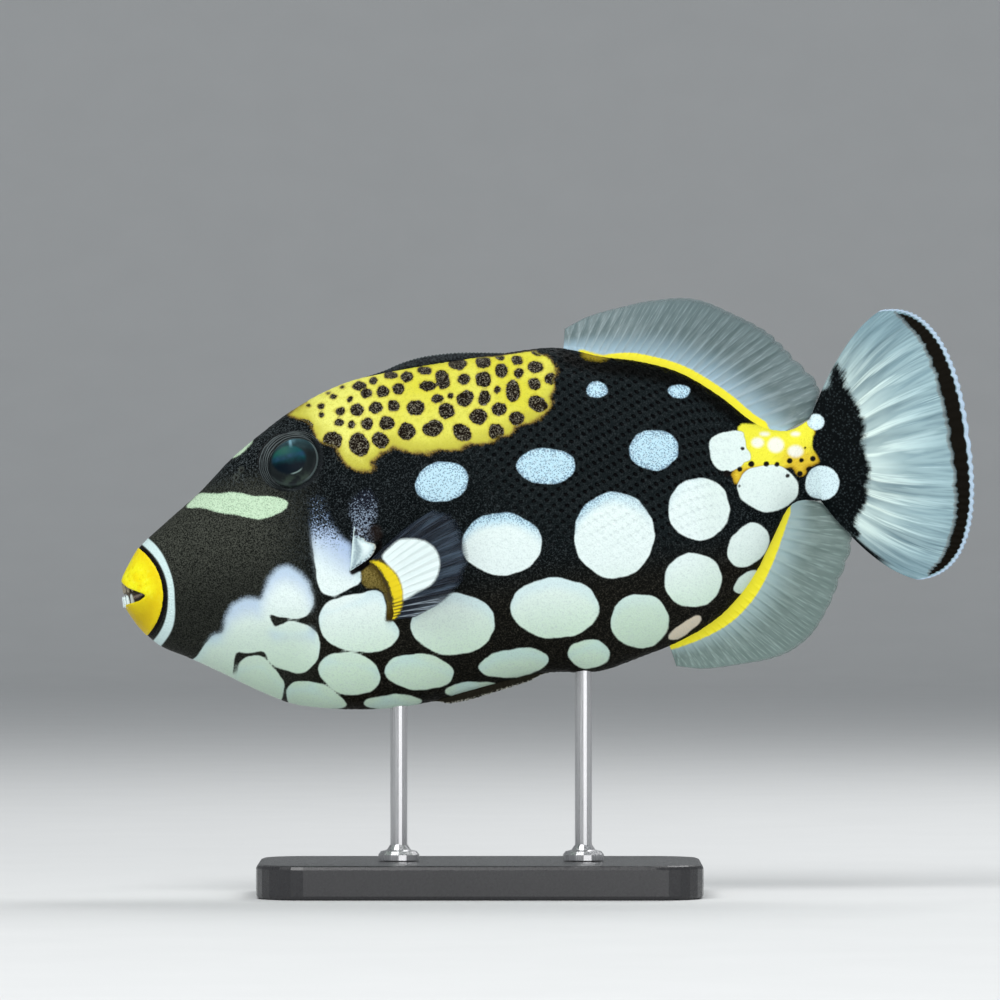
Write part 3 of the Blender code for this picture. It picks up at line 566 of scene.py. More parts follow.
SKIN_ROWS = 330
SKIN_COLUMNS = 292
SKIN_START = 12.2
SKIN_LEAD = -1.5  # the middle of each end stands this far along x from its rim
SKIN_TRAIL = 0.4
LIP_CURL = 27.2  # the first rows bow round the lips by height squared over this
EDGE_HALVINGS = 48  # steps that find where a bowed row meets the back and the belly
GIRTH_STEPS = 240  # points of half a row before they are spaced evenly
FAR = 99.0  # more than any distance that a marking uses
SCALE_LENGTH = 3.8
SCALE_HEIGHT = 3.2


def skin_grid():
    """Grid of the trunk's skin: rows run back from the lips, columns run round from the back."""
    places = np.linspace(0.0, 1.0, SKIN_ROWS)
    rows = SKIN_START + (TRUNK_END - SKIN_START) * places
    curl = (1 - fade(rows, 12.7, 42.0)) / LIP_CURL

    def along(z, row, bow):
        return row - bow * (z - LIP_CENTRE[1]) ** 2

    limits = []
    for outline, outer in ((BACK, 60.0), (BELLY, -50.0)):
        low, high = np.zeros(SKIN_ROWS), np.full(SKIN_ROWS, outer)
        for _ in range(EDGE_HALVINGS):
            middle = (low + high) / 2
            edge = smooth(outline, np.maximum(along(middle, rows, curl), 0.0))
            short = (edge - middle) * np.sign(outer) > 0
            low = np.where(short, middle, low)
            high = np.where(short, high, middle)
        limits.append((low + high) / 2)
    top, bottom = limits
    half = SKIN_COLUMNS // 2
    angle = np.linspace(0.0, math.pi, GIRTH_STEPS + 1)
    level = (1 - np.cos(angle)) / 2
    level = fade(level, 0.0, 1.0) * 0.35 + level * 0.65
    z = top[:, None] + (bottom - top)[:, None] * level[None, :]
    x = along(z, rows[:, None], curl[:, None])
    y = flank(x, z)
    y[:, 0] = y[:, -1] = 0.0
    side = np.stack([x, y, z], axis=-1)
    steps = np.linalg.norm(np.diff(side, axis=1), axis=-1)
    length = np.concatenate([np.zeros((SKIN_ROWS, 1)), np.cumsum(steps, axis=1)], axis=1)
    right = np.empty((SKIN_ROWS, half + 1, 3))
    girth = np.empty((SKIN_ROWS, half + 1))
    for row in range(SKIN_ROWS):
        marks = np.linspace(0.0, length[row, -1], half + 1)
        girth[row] = marks
        for axis in range(3):
            right[row, :, axis] = np.interp(marks, length[row], side[row, :, axis])
    left = right[:, half - 1:0:-1].copy()
    left[..., 1] *= -1
    grid = np.concatenate([right, left], axis=1)
    girth = np.concatenate([girth, girth[:, half - 1:0:-1]], axis=1)
    return grid, girth


def eye_frame(side):
    """Centre and axes of an eye: along the head, outwards and upwards."""
    x, z = EYE_AT
    outwards = np.array([0.0, side * math.cos(EYE_TILT), math.sin(EYE_TILT)])
    along = np.array([1.0, 0.0, 0.0])
    upwards = np.array([0.0, -side * math.sin(EYE_TILT), math.cos(EYE_TILT)])
    skin = np.array([x, side * float(flank(x, z)), z])
    return skin - outwards * EYE_SUNK, along, outwards, upwards


def eye_reach(points, side):
    """Distance from an eye's axis, in the plane of its ring."""
    centre, along, outwards, upwards = eye_frame(side)
    away = points - centre
    flat = np.hypot(away @ along, (away @ upwards) * EYE_SIZE[0] / EYE_SIZE[2])
    return np.where((away @ outwards) > -6.0, flat, FAR)


def shape_skin(grid, girth):
    """Moves the skin's points: scales, eye sockets, gill slit and the fins' fleshy feet."""
    normals = grid_normals(grid, True)
    if (normals[SKIN_ROWS // 2, SKIN_COLUMNS // 4] @ np.array([0.0, 1.0, 0.0])) < 0:
        normals = -normals
    x, y, z = grid[..., 0], grid[..., 1], grid[..., 2]
    p = x / SCALE_LENGTH + girth / SCALE_HEIGHT
    q = x / SCALE_LENGTH - girth / SCALE_HEIGHT
    plate = np.abs(np.sin(math.pi * p) * np.sin(math.pi * q)) ** 0.5
    pit = np.abs(np.cos(math.pi * p) * np.cos(math.pi * q)) ** 8
    place = marking_place(grid)
    body = lattice_strength(place, x)
    plain = 1 - 0.8 * fade(white_field(place), -2.0, 3.0)
    lift = body * (0.09 * plate - 0.26 * pit) * plain
    rng = np.random.default_rng(7)
    rough = rng.normal(0.0, 0.045, x.shape)
    lift = lift + rough * fade(x, 13.0, 18.0) * plain
    sunk = np.zeros(x.shape)
    for side in SIDES.values():
        reach = eye_reach(grid, side)
        same = np.sign(y) == np.sign(side)
        reach = np.where(same, reach, FAR)
        lift = lift + 0.55 * np.exp(-((reach - 9.6) / 1.5) ** 2)
        lift = np.where(reach < 9.4, lift * fade(reach, 7.8, 9.4), lift)
        sunk = np.maximum(sunk, 4.6 * (1 - fade(reach, 7.0, 8.2)))
    flat = np.stack([x, z], axis=-1)
    slit = near_line(flat, GILL_SLIT, 0.9)
    sunk = np.maximum(sunk, 1.8 * fade(slit, 0.0, 0.8) * fade(z, 7.0, 3.0))
    foot = inside_curve(place, FOOT_PATCH)
    lift = lift + 1.1 * fade(foot, -3.0, 5.0)
    for along, level in NOSTRILS:
        sunk = np.maximum(sunk, 0.8 * (1 - fade(np.hypot(x - along, z - level), 0.3, 0.9)))
    shaped = grid + normals * (lift - sunk)[..., None]
    return shaped, p, q


def saddle_dots():
    """Dark dots of the yellow saddle: centre, half sizes and tilt in pixels."""
    return [
        (332.6, 440.8, 9.5, 9.5, 0), (359, 444.8, 9.8, 12.4, 20), (380.5, 440.4, 9.3, 7.5, -38),
        (406.8, 431.3, 9.2, 8.6, 0), (432.9, 428.4, 10.5, 8.3, 18), (462.1, 432.3, 10.6, 8.0, -38),
        (496.1, 431.3, 8, 8, 0), (516.9, 418.5, 8, 7.2, 0), (537.7, 403.7, 10.5, 7.6, -28),
        (339, 422.6, 5, 4, 0), (351.2, 424.4, 4, 4, 0), (367.2, 423.8, 6.3, 6, 0), (387, 423, 8, 7, 0),
        (340.3, 411.2, 5, 4, 0), (356.8, 409.8, 7.5, 6, 0), (375.9, 407.8, 7, 6, 0),
        (393.9, 405.8, 6.3, 6, 0), (415.7, 407.8, 9, 8, 0), (446.7, 410.8, 8.3, 8, 0),
        (478.3, 416.7, 9.3, 8, 0), (499.1, 409.2, 7.5, 7, 0), (366.6, 393.4, 6, 5, 0),
        (382.9, 391.4, 6.5, 6, 0), (398.7, 389, 6, 6, 0), (427.9, 385.9, 9, 5, 0),
        (442.8, 379.5, 7.3, 10, 15), (463.9, 379.1, 6.3, 6, 0), (483.3, 379.5, 8.3, 8, 0),
        (501.5, 370.6, 7, 7, 0), (518.9, 373.2, 5, 5, 0), (512.9, 391, 7.5, 11, 0),
        (534.3, 383.9, 6.7, 6.5, 0), (535.7, 367.1, 8.3, 6, 0), (550.5, 378.6, 6.5, 6, 0),
        (484.3, 397.9, 6.2, 7.8, -25), (464.9, 398.7, 9.4, 7.6, 35), (437.4, 398.7, 6, 4.4, 0),
        (450.9, 396, 3.6, 2.8, 0), (497.1, 389.8, 3.6, 3.6, 0), (517.3, 360.4, 6, 5, 0),
        (483.3, 362.3, 8, 6.3, 0), (499.5, 357.2, 5, 3.4, 0), (457.6, 364.1, 9, 6, 0),
        (424.6, 370.6, 7.5, 4.4, 0), (407.2, 377, 6.3, 5.5, 0), (391, 375.2, 7.5, 4, 0),
        (373.6, 380.9, 4.4, 3.6, 0), (359.1, 385.9, 7, 4.4, 0), (350, 398.9, 3, 3, 0),
        (333.6, 396.7, 4, 2.4, 0), (321.2, 406.2, 4, 2.8, 0), (321.2, 414.5, 2.8, 3.2, 0),
        (308.7, 405.8, 2.8, 1.6, 0), (328.5, 392.8, 2.4, 1.2, 0), (341.9, 387, 3, 1.6, 0),
        (304, 426, 9, 7, 0), (424, 352, 9, 3, 0), (450, 350, 9, 4, 0), (478, 350, 8, 4, 0),
        (503, 351, 6, 3, 0), (540, 351, 9, 5, 0),
    ]


STEM_DOTS = [
    (742.6, 448.6, 2.0), (739.8, 469.2, 2.7), (726.8, 473.4, 3.5), (751.3, 464, 3.2),
    (766.3, 464, 2.9), (777, 464.4, 2.6), (789.7, 460.8, 2.9), (801.4, 460.3, 2.4),
    (805, 447.8, 1.3), (812.9, 458.7, 2.9), (808.2, 469, 2.0), (799.8, 473.7, 2.9),
    (787.6, 475.8, 2.2), (739.5, 486, 1.5),
]
STEM_SPOT = [
    (708.7, 445.8), (714, 436), (723.7, 431.6), (736, 430.8), (743.4, 432.4), (744.2, 438),
    (745.8, 447.4), (750.5, 453.7), (750.5, 460), (744, 463), (739.5, 468), (728.4, 471),
    (719, 469.5), (712.6, 461.6),
]
CHIN_SPOTS = [
    (185, 664), (194.7, 658.5), (205.8, 643.5), (212, 635.5), (221.6, 632), (224, 624), (225.5, 616),
    (231, 605.2), (240.5, 599), (251, 597), (259.5, 598), (262.5, 591), (265.5, 582), (271, 573),
    (279, 567), (289.4, 565), (302.1, 573), (310, 586), (314.5, 599), (312.5, 610), (305, 616.5),
    (292, 619), (280, 617.5), (270.5, 614.5), (274, 625.5), (281.6, 624.5), (290, 621.5),
    (302, 622.5), (311.6, 627.5), (318, 637), (320, 649.5), (316.3, 662), (305.2, 671.5),
    (295, 673.5), (286, 671), (278.5, 667.5), (271.5, 663), (267.5, 659), (265.5, 654), (262, 651.3),
    (256, 652.6), (250, 653.2), (244, 652.8), (237, 651.2), (235.3, 657), (234.2, 664), (233.6, 671),
    (235, 677), (241, 683), (246, 700), (225, 700), (190, 680),
]
THROAT_SPOT = [
    (237.6, 670), (239, 664), (243, 659.5), (249, 657), (257, 656.3), (264.5, 658.5), (270.5, 663.5),
    (278, 672), (283, 682), (283.2, 692), (278.5, 702), (262, 712), (240, 700), (236.5, 681),
]
THROAT_SPOT_REAR = [
    (286.4, 694), (289, 686), (296, 682.2), (308.4, 681), (324.2, 685.5), (336.8, 693), (346, 704),
    (335, 709), (312, 709.5), (292, 707),
]
NOSE_MARK = (242.4, 448.2, 14, 3.3, 42)
NOSTRILS = [(38.4, 29.2), (40.2, 31.2)]
DROP = [
    (308, 500), (318, 496), (326, 502), (329, 512), (333, 525), (341, 537), (351, 546), (352, 558),
    (353, 570), (360, 570.5), (362.5, 577), (358, 584), (346, 590.5), (334, 595.5), (325, 594),
    (319, 587), (315.5, 572), (313.5, 556), (312, 538), (309, 518),
]
CHEEK_SPOT = [
    (319, 618), (326, 603), (342, 597), (360, 594), (372, 590), (380, 593), (386, 603), (387, 616),
    (392, 620), (398, 630), (396, 641), (385, 649), (366, 652), (345, 650), (328, 641), (320, 630),
]
SNOUT_BAND = [
    (186, 507), (193, 499), (200, 494), (222, 493), (240, 493), (258, 496), (272, 497), (286, 500),
    (288, 505), (281, 512), (264, 519), (246, 517), (224, 513), (205, 509),
]
STEM_PATCH = [
    (741, 425), (767, 424), (783, 426), (794, 420), (806, 414), (813, 424), (815, 431), (813, 440),
    (812, 448), (817, 456), (819, 462), (813, 466), (807, 468), (805, 474), (800, 476), (796, 473),
    (793, 468), (788, 468), (776, 471), (764, 470), (752, 470), (744, 474), (741, 481), (736, 484),
    (732, 477), (731, 473), (738, 466), (743, 458), (743, 446), (739, 438),
]
STREAK = [
    (361, 492), (366, 490.5), (372, 493), (376, 500), (377, 510), (374, 519), (371, 528), (372, 541),
    (368, 545), (354, 545), (354.5, 524), (350, 514), (350, 505), (354, 497),
]
FOOT_PATCH = [
    (361, 573), (366, 566), (374, 560), (383, 559), (392, 572), (398, 584), (402, 596), (400, 608),
    (396, 619), (386, 621), (386, 612), (387, 602), (384, 593), (377, 588), (368, 588), (362, 582),
]
FLAP_PALE = [
    (349, 539), (364, 538), (372, 541), (378, 546), (374, 552), (370.5, 556.6), (361, 563.4),
    (352.7, 568), (348, 566),
]
# Outline of the painted shade in the top of the gill opening.
GILL_OPENING_SHADE = [
    (367, 537), (367, 531), (370, 527), (375, 525.5), (380, 528), (382, 534), (380, 540), (374, 543),
]


def union(place, spots):
    """Pixels inside the nearest of several ellipses."""
    value = np.full(place.shape[:-1], -FAR)
    for spot in spots:
        value = np.maximum(value, inside_ellipse(place, spot))
    return value


def white_field(place):
    """Pixels inside the nearest white spot."""
    white = union(place, WHITE_SPOTS)
    for outline in (DROP, CHEEK_SPOT, CHIN_SPOTS, THROAT_SPOT, THROAT_SPOT_REAR, STEM_SPOT):
        white = np.maximum(white, inside_curve(place, outline))
    return white


def skin_fields(grid, p, q):
    """Markings of the skin, with its painted light and shade, most of them as pixels inside their edge.
    """
    place = marking_place(grid)
    loose = wobble(place, 0.55, 34.0, 3)
    across, down = place[..., 0], place[..., 1]
    x, z = grid[..., 0], grid[..., 2]
    saddle = inside_curve(wobble(place, 1.1, 17.0, 4), SADDLE)
    crown = (smooth(BACK, x) - z) / PIXEL
    saddle = np.maximum(saddle, np.minimum(9.0 - crown, inside_span(place, 306, 531)))
    behind = np.minimum(saddle, 2.0 * crown - 4.0 * fade(across, 470, 500))
    saddle = np.where(across > 470, behind, saddle)
    band = inside_curve(loose, SNOUT_BAND)
    band = np.maximum(band, np.minimum(inside_ellipse(place, NOSE_MARK), 14 - crown))
    ring = np.hypot(x - LIP_CENTRE[0], z - LIP_CENTRE[1])
    high, low = fade(z, 4.0, 14.0), fade(z, -2.0, -14.0)
    lip_ring = 3.1 + 1.2 * high + 1.5 * low - np.abs(ring - 18.95 - 0.25 * high - 1.2 * low) / PIXEL
    nostril = np.full(x.shape, FAR)
    for along, level in NOSTRILS:
        nostril = np.minimum(nostril, np.hypot(x - along, z - level))
    ink = union(place, [(dot[0], dot[1], dot[2], dot[2], 0) for dot in STEM_DOTS])
    # The upper rim of each white spot: painted cool light from above, also counted in where the stipple
    # shows.
    spot_top_light_and_stipple = fade(white_field(loose - np.array([0.0, 13.0])), 4.0, -9.0) * fade(across, 720.0, 560.0)
    haze = fade(white_field(loose - np.array([0.0, 19.0])), 9.0, -11.0)
    haze = haze * fade(across, 318.0, 312.0) * fade(down, 650.0, 628.0)
    veil = fade(down - 0.7 * (across - 330.0), 584.0, 534.0) * fade(down, 590.0, 570.0)
    veil = veil * fade(across, 356.0, 350.0) * fade(across, 303.0, 306.0)
    # Bluish tint of the upper whites: painted cool light from above. The same field sets where their
    # real dark stipple shows, and tints the whites near the tail.
    cool_light_and_stipple = fade(z, 8.0, 15.0) * fade(across, 712.0, 698.0) + 0.4 * fade(across, 798.0, 812.0)
    # Whites of the chin, the lower rear and the tail stem darkened: painted shade.
    chin_shade = fade(across, 335.0, 285.0) * fade(down, 590.0, 640.0)
    rear_shade = 0.7 * fade(across, 590.0, 625.0) * fade(across, 700.0, 670.0) * fade(down, 590.0, 610.0)
    stem_shade = 0.35 * fade(across, 690.0, 715.0) * fade(down, 400.0, 420.0)
    patch_low = fade(across, 770.0, 795.0) * fade(down, 440.0, 462.0)
    return {
        "white": white_field(loose) - haze,
        "soft": np.maximum(haze, veil),
        "mist": np.maximum(0.65 * haze, veil),
        "white_lost": fade(down, 578.0, 506.0) * fade(across, 360.0, 345.0),
        "painted_shade": np.maximum(chin_shade, rear_shade + stem_shade),
        "cool_light_and_stipple": np.maximum(cool_light_and_stipple, spot_top_light_and_stipple * fade(z, -6.0, 6.0) * fade(across, 400.0, 450.0)),
        "spot_top_light_and_stipple": spot_top_light_and_stipple,
        # Greener whites low on the body: painted light reflected from below.
        "green": fade(z, -8.0, -34.0),
        "warm": fade(z, -4.0, -20.0),
        "tan": inside_ellipse(place, (690, 626, 26, 12, 32)),
        "stem_light": union(place, STEM_LIGHTS),
        "saddle": saddle,
        "saddle_foot": fade(inside_curve(loose + np.array([0.0, 22.0]), SADDLE), 10.0, -10.0),
        "saddle_front": fade(across, 430.0, 330.0),
        "dots": union(wobble(place, 0.45, 14.0, 5), saddle_dots()),
        "patch": inside_curve(loose, STEM_PATCH),
        "patch_edge": np.maximum(patch_low, fade(down, 462.0, 470.0)),
        "ink": ink,
        "band": band,
        "lip_ring": lip_ring,
        "ring": ring,
        "nostril": nostril,
        "eye": np.minimum(eye_reach(grid, -1.0), eye_reach(grid, 1.0)),
        "foot": inside_curve(place, FOOT_PATCH),
        "foot_shade": fade(inside_curve(place, CRESCENT), -11.0, -1.0),
        "streak": inside_curve(loose, STREAK),
        "streak_lost": fade(down, 520.0, 488.0),
        "brown": inside_curve(loose, GILL_OPENING_SHADE),
        # Where the painted shadow of the gill slit falls.
        "slit": near_line(np.stack([x, z], -1), GILL_SLIT, 0.8) / PIXEL - 4.0 * fade(z, 3.0, 7.0),
        "fin_brown": inside_ellipse(place, (595, 355.5, 13, 5, -6)),
        "lattice": lattice_strength(place, x),
        "scale_p": p,
        "scale_q": q,
        "snout": fade(x, 66.0, 40.0) * fade(z, 33.0, 22.0),
        # The snout lighter towards its top: painted light from above.
        "snout_top_light": fade(z, -8.0, 14.0),
        "bare": fade(crown, 24.0, 12.0) * fade(x, 134.0, 140.0),
        "coarse": fade(x, 66.0, 52.0) * fade(z, 22.0, 32.0),
    }


def lattice_strength(place, x):
    """How far the dark pits between the scales show."""
    strong = fade(inside_ellipse(place, (640, 430, 150, 95, 0)), -50.0, 10.0)
    strength = (0.2 + 0.8 * strong) * fade(x, 60.0, 80.0) * (1 - fade(place[..., 0], 700, 760))
    return strength * (1 - fade(inside_outline(place, SADDLE), -4.0, 3.0))


def inside_span(place, start, end):
    """Pixels inside a stretch of the photograph's width."""
    return np.minimum(place[..., 0] - start, end - place[..., 0])


BLACK = (0.0008, 0.0020, 0.0024)
CHARCOAL = (0.024, 0.033, 0.036)
WARM_BLACK = (0.0040, 0.0034, 0.0018)
WARM_GREY = (0.026, 0.023, 0.015)
YELLOW = (0.60, 0.57, 0.026)
PALE_YELLOW = (0.70, 0.70, 0.14)
WHITE = (0.74, 0.85, 0.83)
BLUE_WHITE = (0.42, 0.67, 0.80)
# Whites in greenish light reflected from below: painted light.
GREEN_LIT_WHITE = (0.58, 0.76, 0.60)
OLIVE = (0.085, 0.062, 0.012)
OLIVE_LIGHT = (0.22, 0.17, 0.045)
OLIVE_SHADE = (0.045, 0.028, 0.002)
INK = (0.005, 0.004, 0.004)
STIPPLE = (0.045, 0.10, 0.19)
STREAK_DARK = (0.006, 0.008, 0.014)
STREAK_LIGHT = (0.22, 0.28, 0.36)
PATCH_GOLD = (0.70, 0.50, 0.035)
PATCH_RIM = (0.40, 0.24, 0.012)
MESH_DARK = (0.002, 0.004, 0.0045)
MESH_LIGHT = (0.013, 0.019, 0.021)
GILL_SHADE_BROWN = (0.022, 0.014, 0.011)
NOSTRIL_RIM = (0.12, 0.14, 0.12)


def olive_look(looks, fine, shade):
    """The brown-green foot of a pectoral fin, on the skin and on the fin."""
    olive = looks.blend(looks.step(fine, 0.32, 0.68), OLIVE, OLIVE_LIGHT)
    return looks.blend(shade, olive, OLIVE_SHADE)


def skin_material():
    """Black granular skin with its white spots, saddle, bands and patches."""
    looks = Looks("fish_skin")
    fine = looks.grain(0.5, 3.0, 0.65)
    medium = looks.grain(1.5, 2.0, 0.6)
    broad = looks.grain(14.0, 2.0)
    specks = looks.cells(0.52)
    ragged = looks.scaled(fine, 3.2, -1.6)

    def edge(name, softness=0.9, rag=1.0):
        value = looks.scaled(ragged, rag, looks.field(name))
        return looks.step(value, -softness, softness)

    def both(a, b):
        return looks.times(a, b)

    def without(a):
        return looks.less(1.0, a)

    p, q = looks.field("scale_p"), looks.field("scale_q")
    cos_p = looks.sum("COSINE", both(p, math.pi))
    cos_q = looks.sum("COSINE", both(q, math.pi))
    lattice = looks.field("lattice")
    pits = both(looks.step(looks.size(both(cos_p, cos_q)), 0.62, 0.92), lattice)
    sin_p = looks.size(looks.sum("SINE", both(p, math.pi)))
    sin_q = looks.size(looks.sum("SINE", both(q, math.pi)))
    seams = looks.step(looks.sum("MINIMUM", sin_p, sin_q), 0.02, 0.36)

    curls = looks.size(looks.less(looks.grain(0.85, 1.0), 0.5))
    glints = both(looks.step(curls, 0.09, 0.01), looks.step(fine, 0.40, 0.62))
    dark = looks.blend(glints, BLACK, CHARCOAL)
    dark = looks.blend(looks.field("warm"), dark, looks.blend(glints, WARM_BLACK, WARM_GREY))
    dark = looks.blend(both(glints, looks.field("coarse")), dark, (0.060, 0.074, 0.078))
    pores = looks.grain(0.38, 2.0, 0.6)
    # The snout's grain lighter towards its top: painted light from above.
    lit = looks.blend(looks.field("snout_top_light"), (0.028, 0.031, 0.025), (0.062, 0.067, 0.054))
    snout = looks.blend(looks.step(pores, 0.36, 0.66), (0.004, 0.005, 0.004), lit)
    dark = looks.blend(looks.field("snout"), dark, snout)
    dark = looks.blend(both(lattice, 0.75), dark, looks.blend(fine, MESH_DARK, MESH_LIGHT))
    dark = looks.blend(pits, dark, (0.001, 0.001, 0.0015))
    dark = looks.blend(looks.field("bare"), dark, (0.001, 0.0012, 0.001))
    dark = looks.blend(edge("fin_brown", 3.0, 2.0), dark, (0.30, 0.22, 0.008))

    light = looks.most(looks.field("saddle_front"), looks.step(broad, 0.35, 0.65, 0.0, 0.45))
    gold = looks.blend(light, YELLOW, PALE_YELLOW)
    gold = looks.blend(both(looks.step(medium, 0.50, 0.70), 0.40), gold, (0.46, 0.44, 0.02))
    gold = looks.blend(both(looks.step(fine, 0.50, 0.68), 0.35), gold, (0.34, 0.34, 0.03))
    foot = looks.field("saddle_foot")
    low = looks.scaled(medium, 9.0, looks.field("saddle"))
    gold = looks.blend(both(looks.step(low, 24.0, 6.0), both(foot, 0.9)), gold, (0.43, 0.40, 0.030))
    brink = looks.scaled(foot, 3.5, 1.2)
    gold = looks.blend(looks.step(looks.field("saddle"), brink, -1.0), gold, (0.20, 0.12, 0.010))
    colour = looks.blend(edge("saddle", 2.4, 2.8), dark, gold)
    rust = looks.step(looks.size(looks.field("dots")), 2.2, 0.4)
    colour = looks.blend(both(both(rust, edge("saddle", 3.0, 1.5)), 0.35), colour, (0.34, 0.23, 0.01))
    dot = looks.blend(glints, (0.008, 0.005, 0.0025), (0.19, 0.175, 0.125))
    dots = both(edge("dots", 0.8, 0.9), edge("saddle", 3.0, 1.5))
    colour = looks.blend(dots, colour, dot)

    cool_light_and_stipple = looks.field("cool_light_and_stipple")
    # Greener whites low on the body: painted light reflected from below.
    pale = looks.blend(looks.field("green"), WHITE, GREEN_LIT_WHITE)
    pale = looks.blend(both(looks.step(medium, 0.45, 0.7), 0.20), pale, (0.58, 0.70, 0.67))
    # Darker whites on the chin, the lower rear and the tail stem: painted shade.
    pale = looks.blend(both(looks.field("painted_shade"), 0.45), pale, (0.40, 0.54, 0.42))
    # Bluish tint on the upper whites and the tops of the spots: painted cool light from above.
    tint = looks.most(both(cool_light_and_stipple, 0.85), both(looks.field("spot_top_light_and_stipple"), 0.30))
    pale = looks.blend(tint, pale, BLUE_WHITE)
    pale = looks.blend(both(looks.field("mist"), 0.85), pale, (0.31, 0.42, 0.65))
    pale = looks.blend(looks.step(looks.field("tan"), -4.0, 4.0), pale, (0.62, 0.55, 0.42))
    rim = looks.step(looks.field("white"), 7.0, 0.0, 0.0, 0.22)
    stipple = both(looks.step(looks.less(specks, rim), 0.46, 0.30), both(cool_light_and_stipple, 0.66))
    pale = looks.blend(stipple, pale, STIPPLE)
    pale = looks.blend(both(looks.step(fine, 0.48, 0.66), 0.30), pale, (0.35, 0.45, 0.46))
    pale = looks.blend(both(pits, 0.20), pale, (0.45, 0.52, 0.56))
    lost = looks.scaled(fine, 1.9, looks.field("white_lost"))
    misty = looks.scaled(ragged, 2.2, looks.field("white"))
    misty = looks.step(misty, -4.5, 4.5)
    solid_edge = edge("white", 0.9, 0.45)
    inside = looks.scaled(looks.field("soft"), looks.less(misty, solid_edge), solid_edge)
    white = both(inside, looks.step(lost, 1.92, 1.42))
    colour = looks.blend(white, colour, pale)

    band = looks.blend(fine, (0.34, 0.52, 0.34), (0.66, 0.82, 0.62))
    band = looks.blend(both(looks.step(specks, 0.44, 0.30), 0.40), band, (0.10, 0.16, 0.10))
    colour = looks.blend(edge("band", 1.0, 0.9), colour, band)
    colour = looks.blend(looks.step(looks.field("lip_ring"), -0.9, 0.9), colour, (0.58, 0.74, 0.73))
    colour = looks.blend(looks.step(looks.field("ring"), 17.9, 17.3), colour, INK)
    golden = looks.blend(looks.step(looks.field("patch"), 5.0, -0.5), PATCH_GOLD, PATCH_RIM)
    golden = looks.blend(looks.field("patch_edge"), (0.80, 0.76, 0.05), golden)
    colour = looks.blend(both(edge("patch", 1.2, 0.8), without(white)), colour, golden)
    milk = both(looks.step(looks.field("stem_light"), -2.2, 2.2), 0.9)
    colour = looks.blend(milk, colour, (0.82, 0.84, 0.78))
    colour = looks.blend(edge("ink", 0.8, 0.3), colour, INK)
    olive = olive_look(looks, fine, looks.field("foot_shade"))
    colour = looks.blend(edge("foot", 1.6, 1.0), colour, olive)
    grains = looks.step(looks.scaled(looks.field("streak_lost"), -0.13, fine), 0.44, 0.60)
    streak = looks.blend(grains, STREAK_DARK, STREAK_LIGHT)
    colour = looks.blend(edge("streak", 3.4, 2.6), colour, streak)
    # Painted shade in the top of the gill opening, brownish black.
    colour = looks.blend(both(edge("brown", 3.0, 1.2), 0.8), colour, looks.blend(fine, INK, GILL_SHADE_BROWN))
    # Painted shadow in the gill slit.
    colour = looks.blend(looks.step(looks.field("slit"), -1.0, 1.0), colour, INK)
    ring = looks.blend(fine, (0.003, 0.004, 0.005), (0.018, 0.022, 0.024))
    colour = looks.blend(looks.step(looks.field("eye"), 10.0, 9.2), colour, ring)
    nostril = looks.field("nostril")
    colour = looks.blend(both(looks.step(nostril, 1.2, 0.8), 0.3), colour, NOSTRIL_RIM)
    # Painted shade inside the nostrils.
    colour = looks.blend(looks.step(nostril, 0.75, 0.45), colour, INK)

    light_part = looks.most(white, both(edge("saddle", 2.0, 0.5), without(dots)))
    calm = without(both(light_part, 0.62))
    relief = looks.bump(curls, both(calm, 0.6), 0.9)
    relief = looks.bump(fine, both(calm, 0.45), 0.18, relief)
    relief = looks.bump(both(seams, both(lattice, calm)), 0.5, 0.22, relief)
    level = without(both(light_part, 0.82))
    relief = looks.bump(without(both(pits, level)), 0.9, 0.45, relief)
    rough = looks.step(fine, 0.3, 0.7, 0.42, 0.62)
    shine = looks.scaled(light_part, 0.20, looks.scaled(glints, 0.12, 0.03))
    return looks.finish(Base_Color=colour, Roughness=rough, Normal=relief, Specular_IOR_Level=shine)


def make_skin():
    """The one skin over head, torso and tail stem."""
    grid, girth = skin_grid()
    shaped, p, q = shape_skin(grid, girth)
    fields = skin_fields(grid, p, q)
    points, faces = capped_tube(shaped, SKIN_LEAD, SKIN_TRAIL)
    flat = {name: np.asarray(values).ravel() for name, values in fields.items()}
    flat = {name: np.append(values, [values[0], values[-1]]) for name, values in flat.items()}
    skin = add_piece("skin", points, faces, flat)
    skin.data.materials.append(skin_material())
    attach(skin, "root")
    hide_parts("head", "torso", "tail_stem")
    outward(skin)


# Fins

ACROSS = np.array([0.0, 1.0, 0.0])


def plate_piece(name, middle, thick, fields):
    """A thin closed plate from the grid of its middle and its half thickness each way."""
    near, far = middle - thick, middle + thick
    rows, columns = near.shape[:2]
    count = rows * columns
    front = grid_faces(rows, columns, False)
    back = front[:, ::-1] + count
    index = np.arange(count).reshape(rows, columns)
    rim = np.concatenate([index[0], index[1:, -1], index[-1, -2::-1], index[-2:0:-1, 0]])
    after = np.roll(rim, -1)
    band = np.stack([after, rim, rim + count, after + count], axis=-1)
    faces = np.concatenate([front, back, band]).tolist()
    points = np.concatenate([near.reshape(-1, 3), far.reshape(-1, 3)])
    doubled = {key: np.concatenate([value.ravel()] * 2) for key, value in fields.items()}
    thing = add_piece(name, points, faces, doubled)
    outward(thing)
    return thing


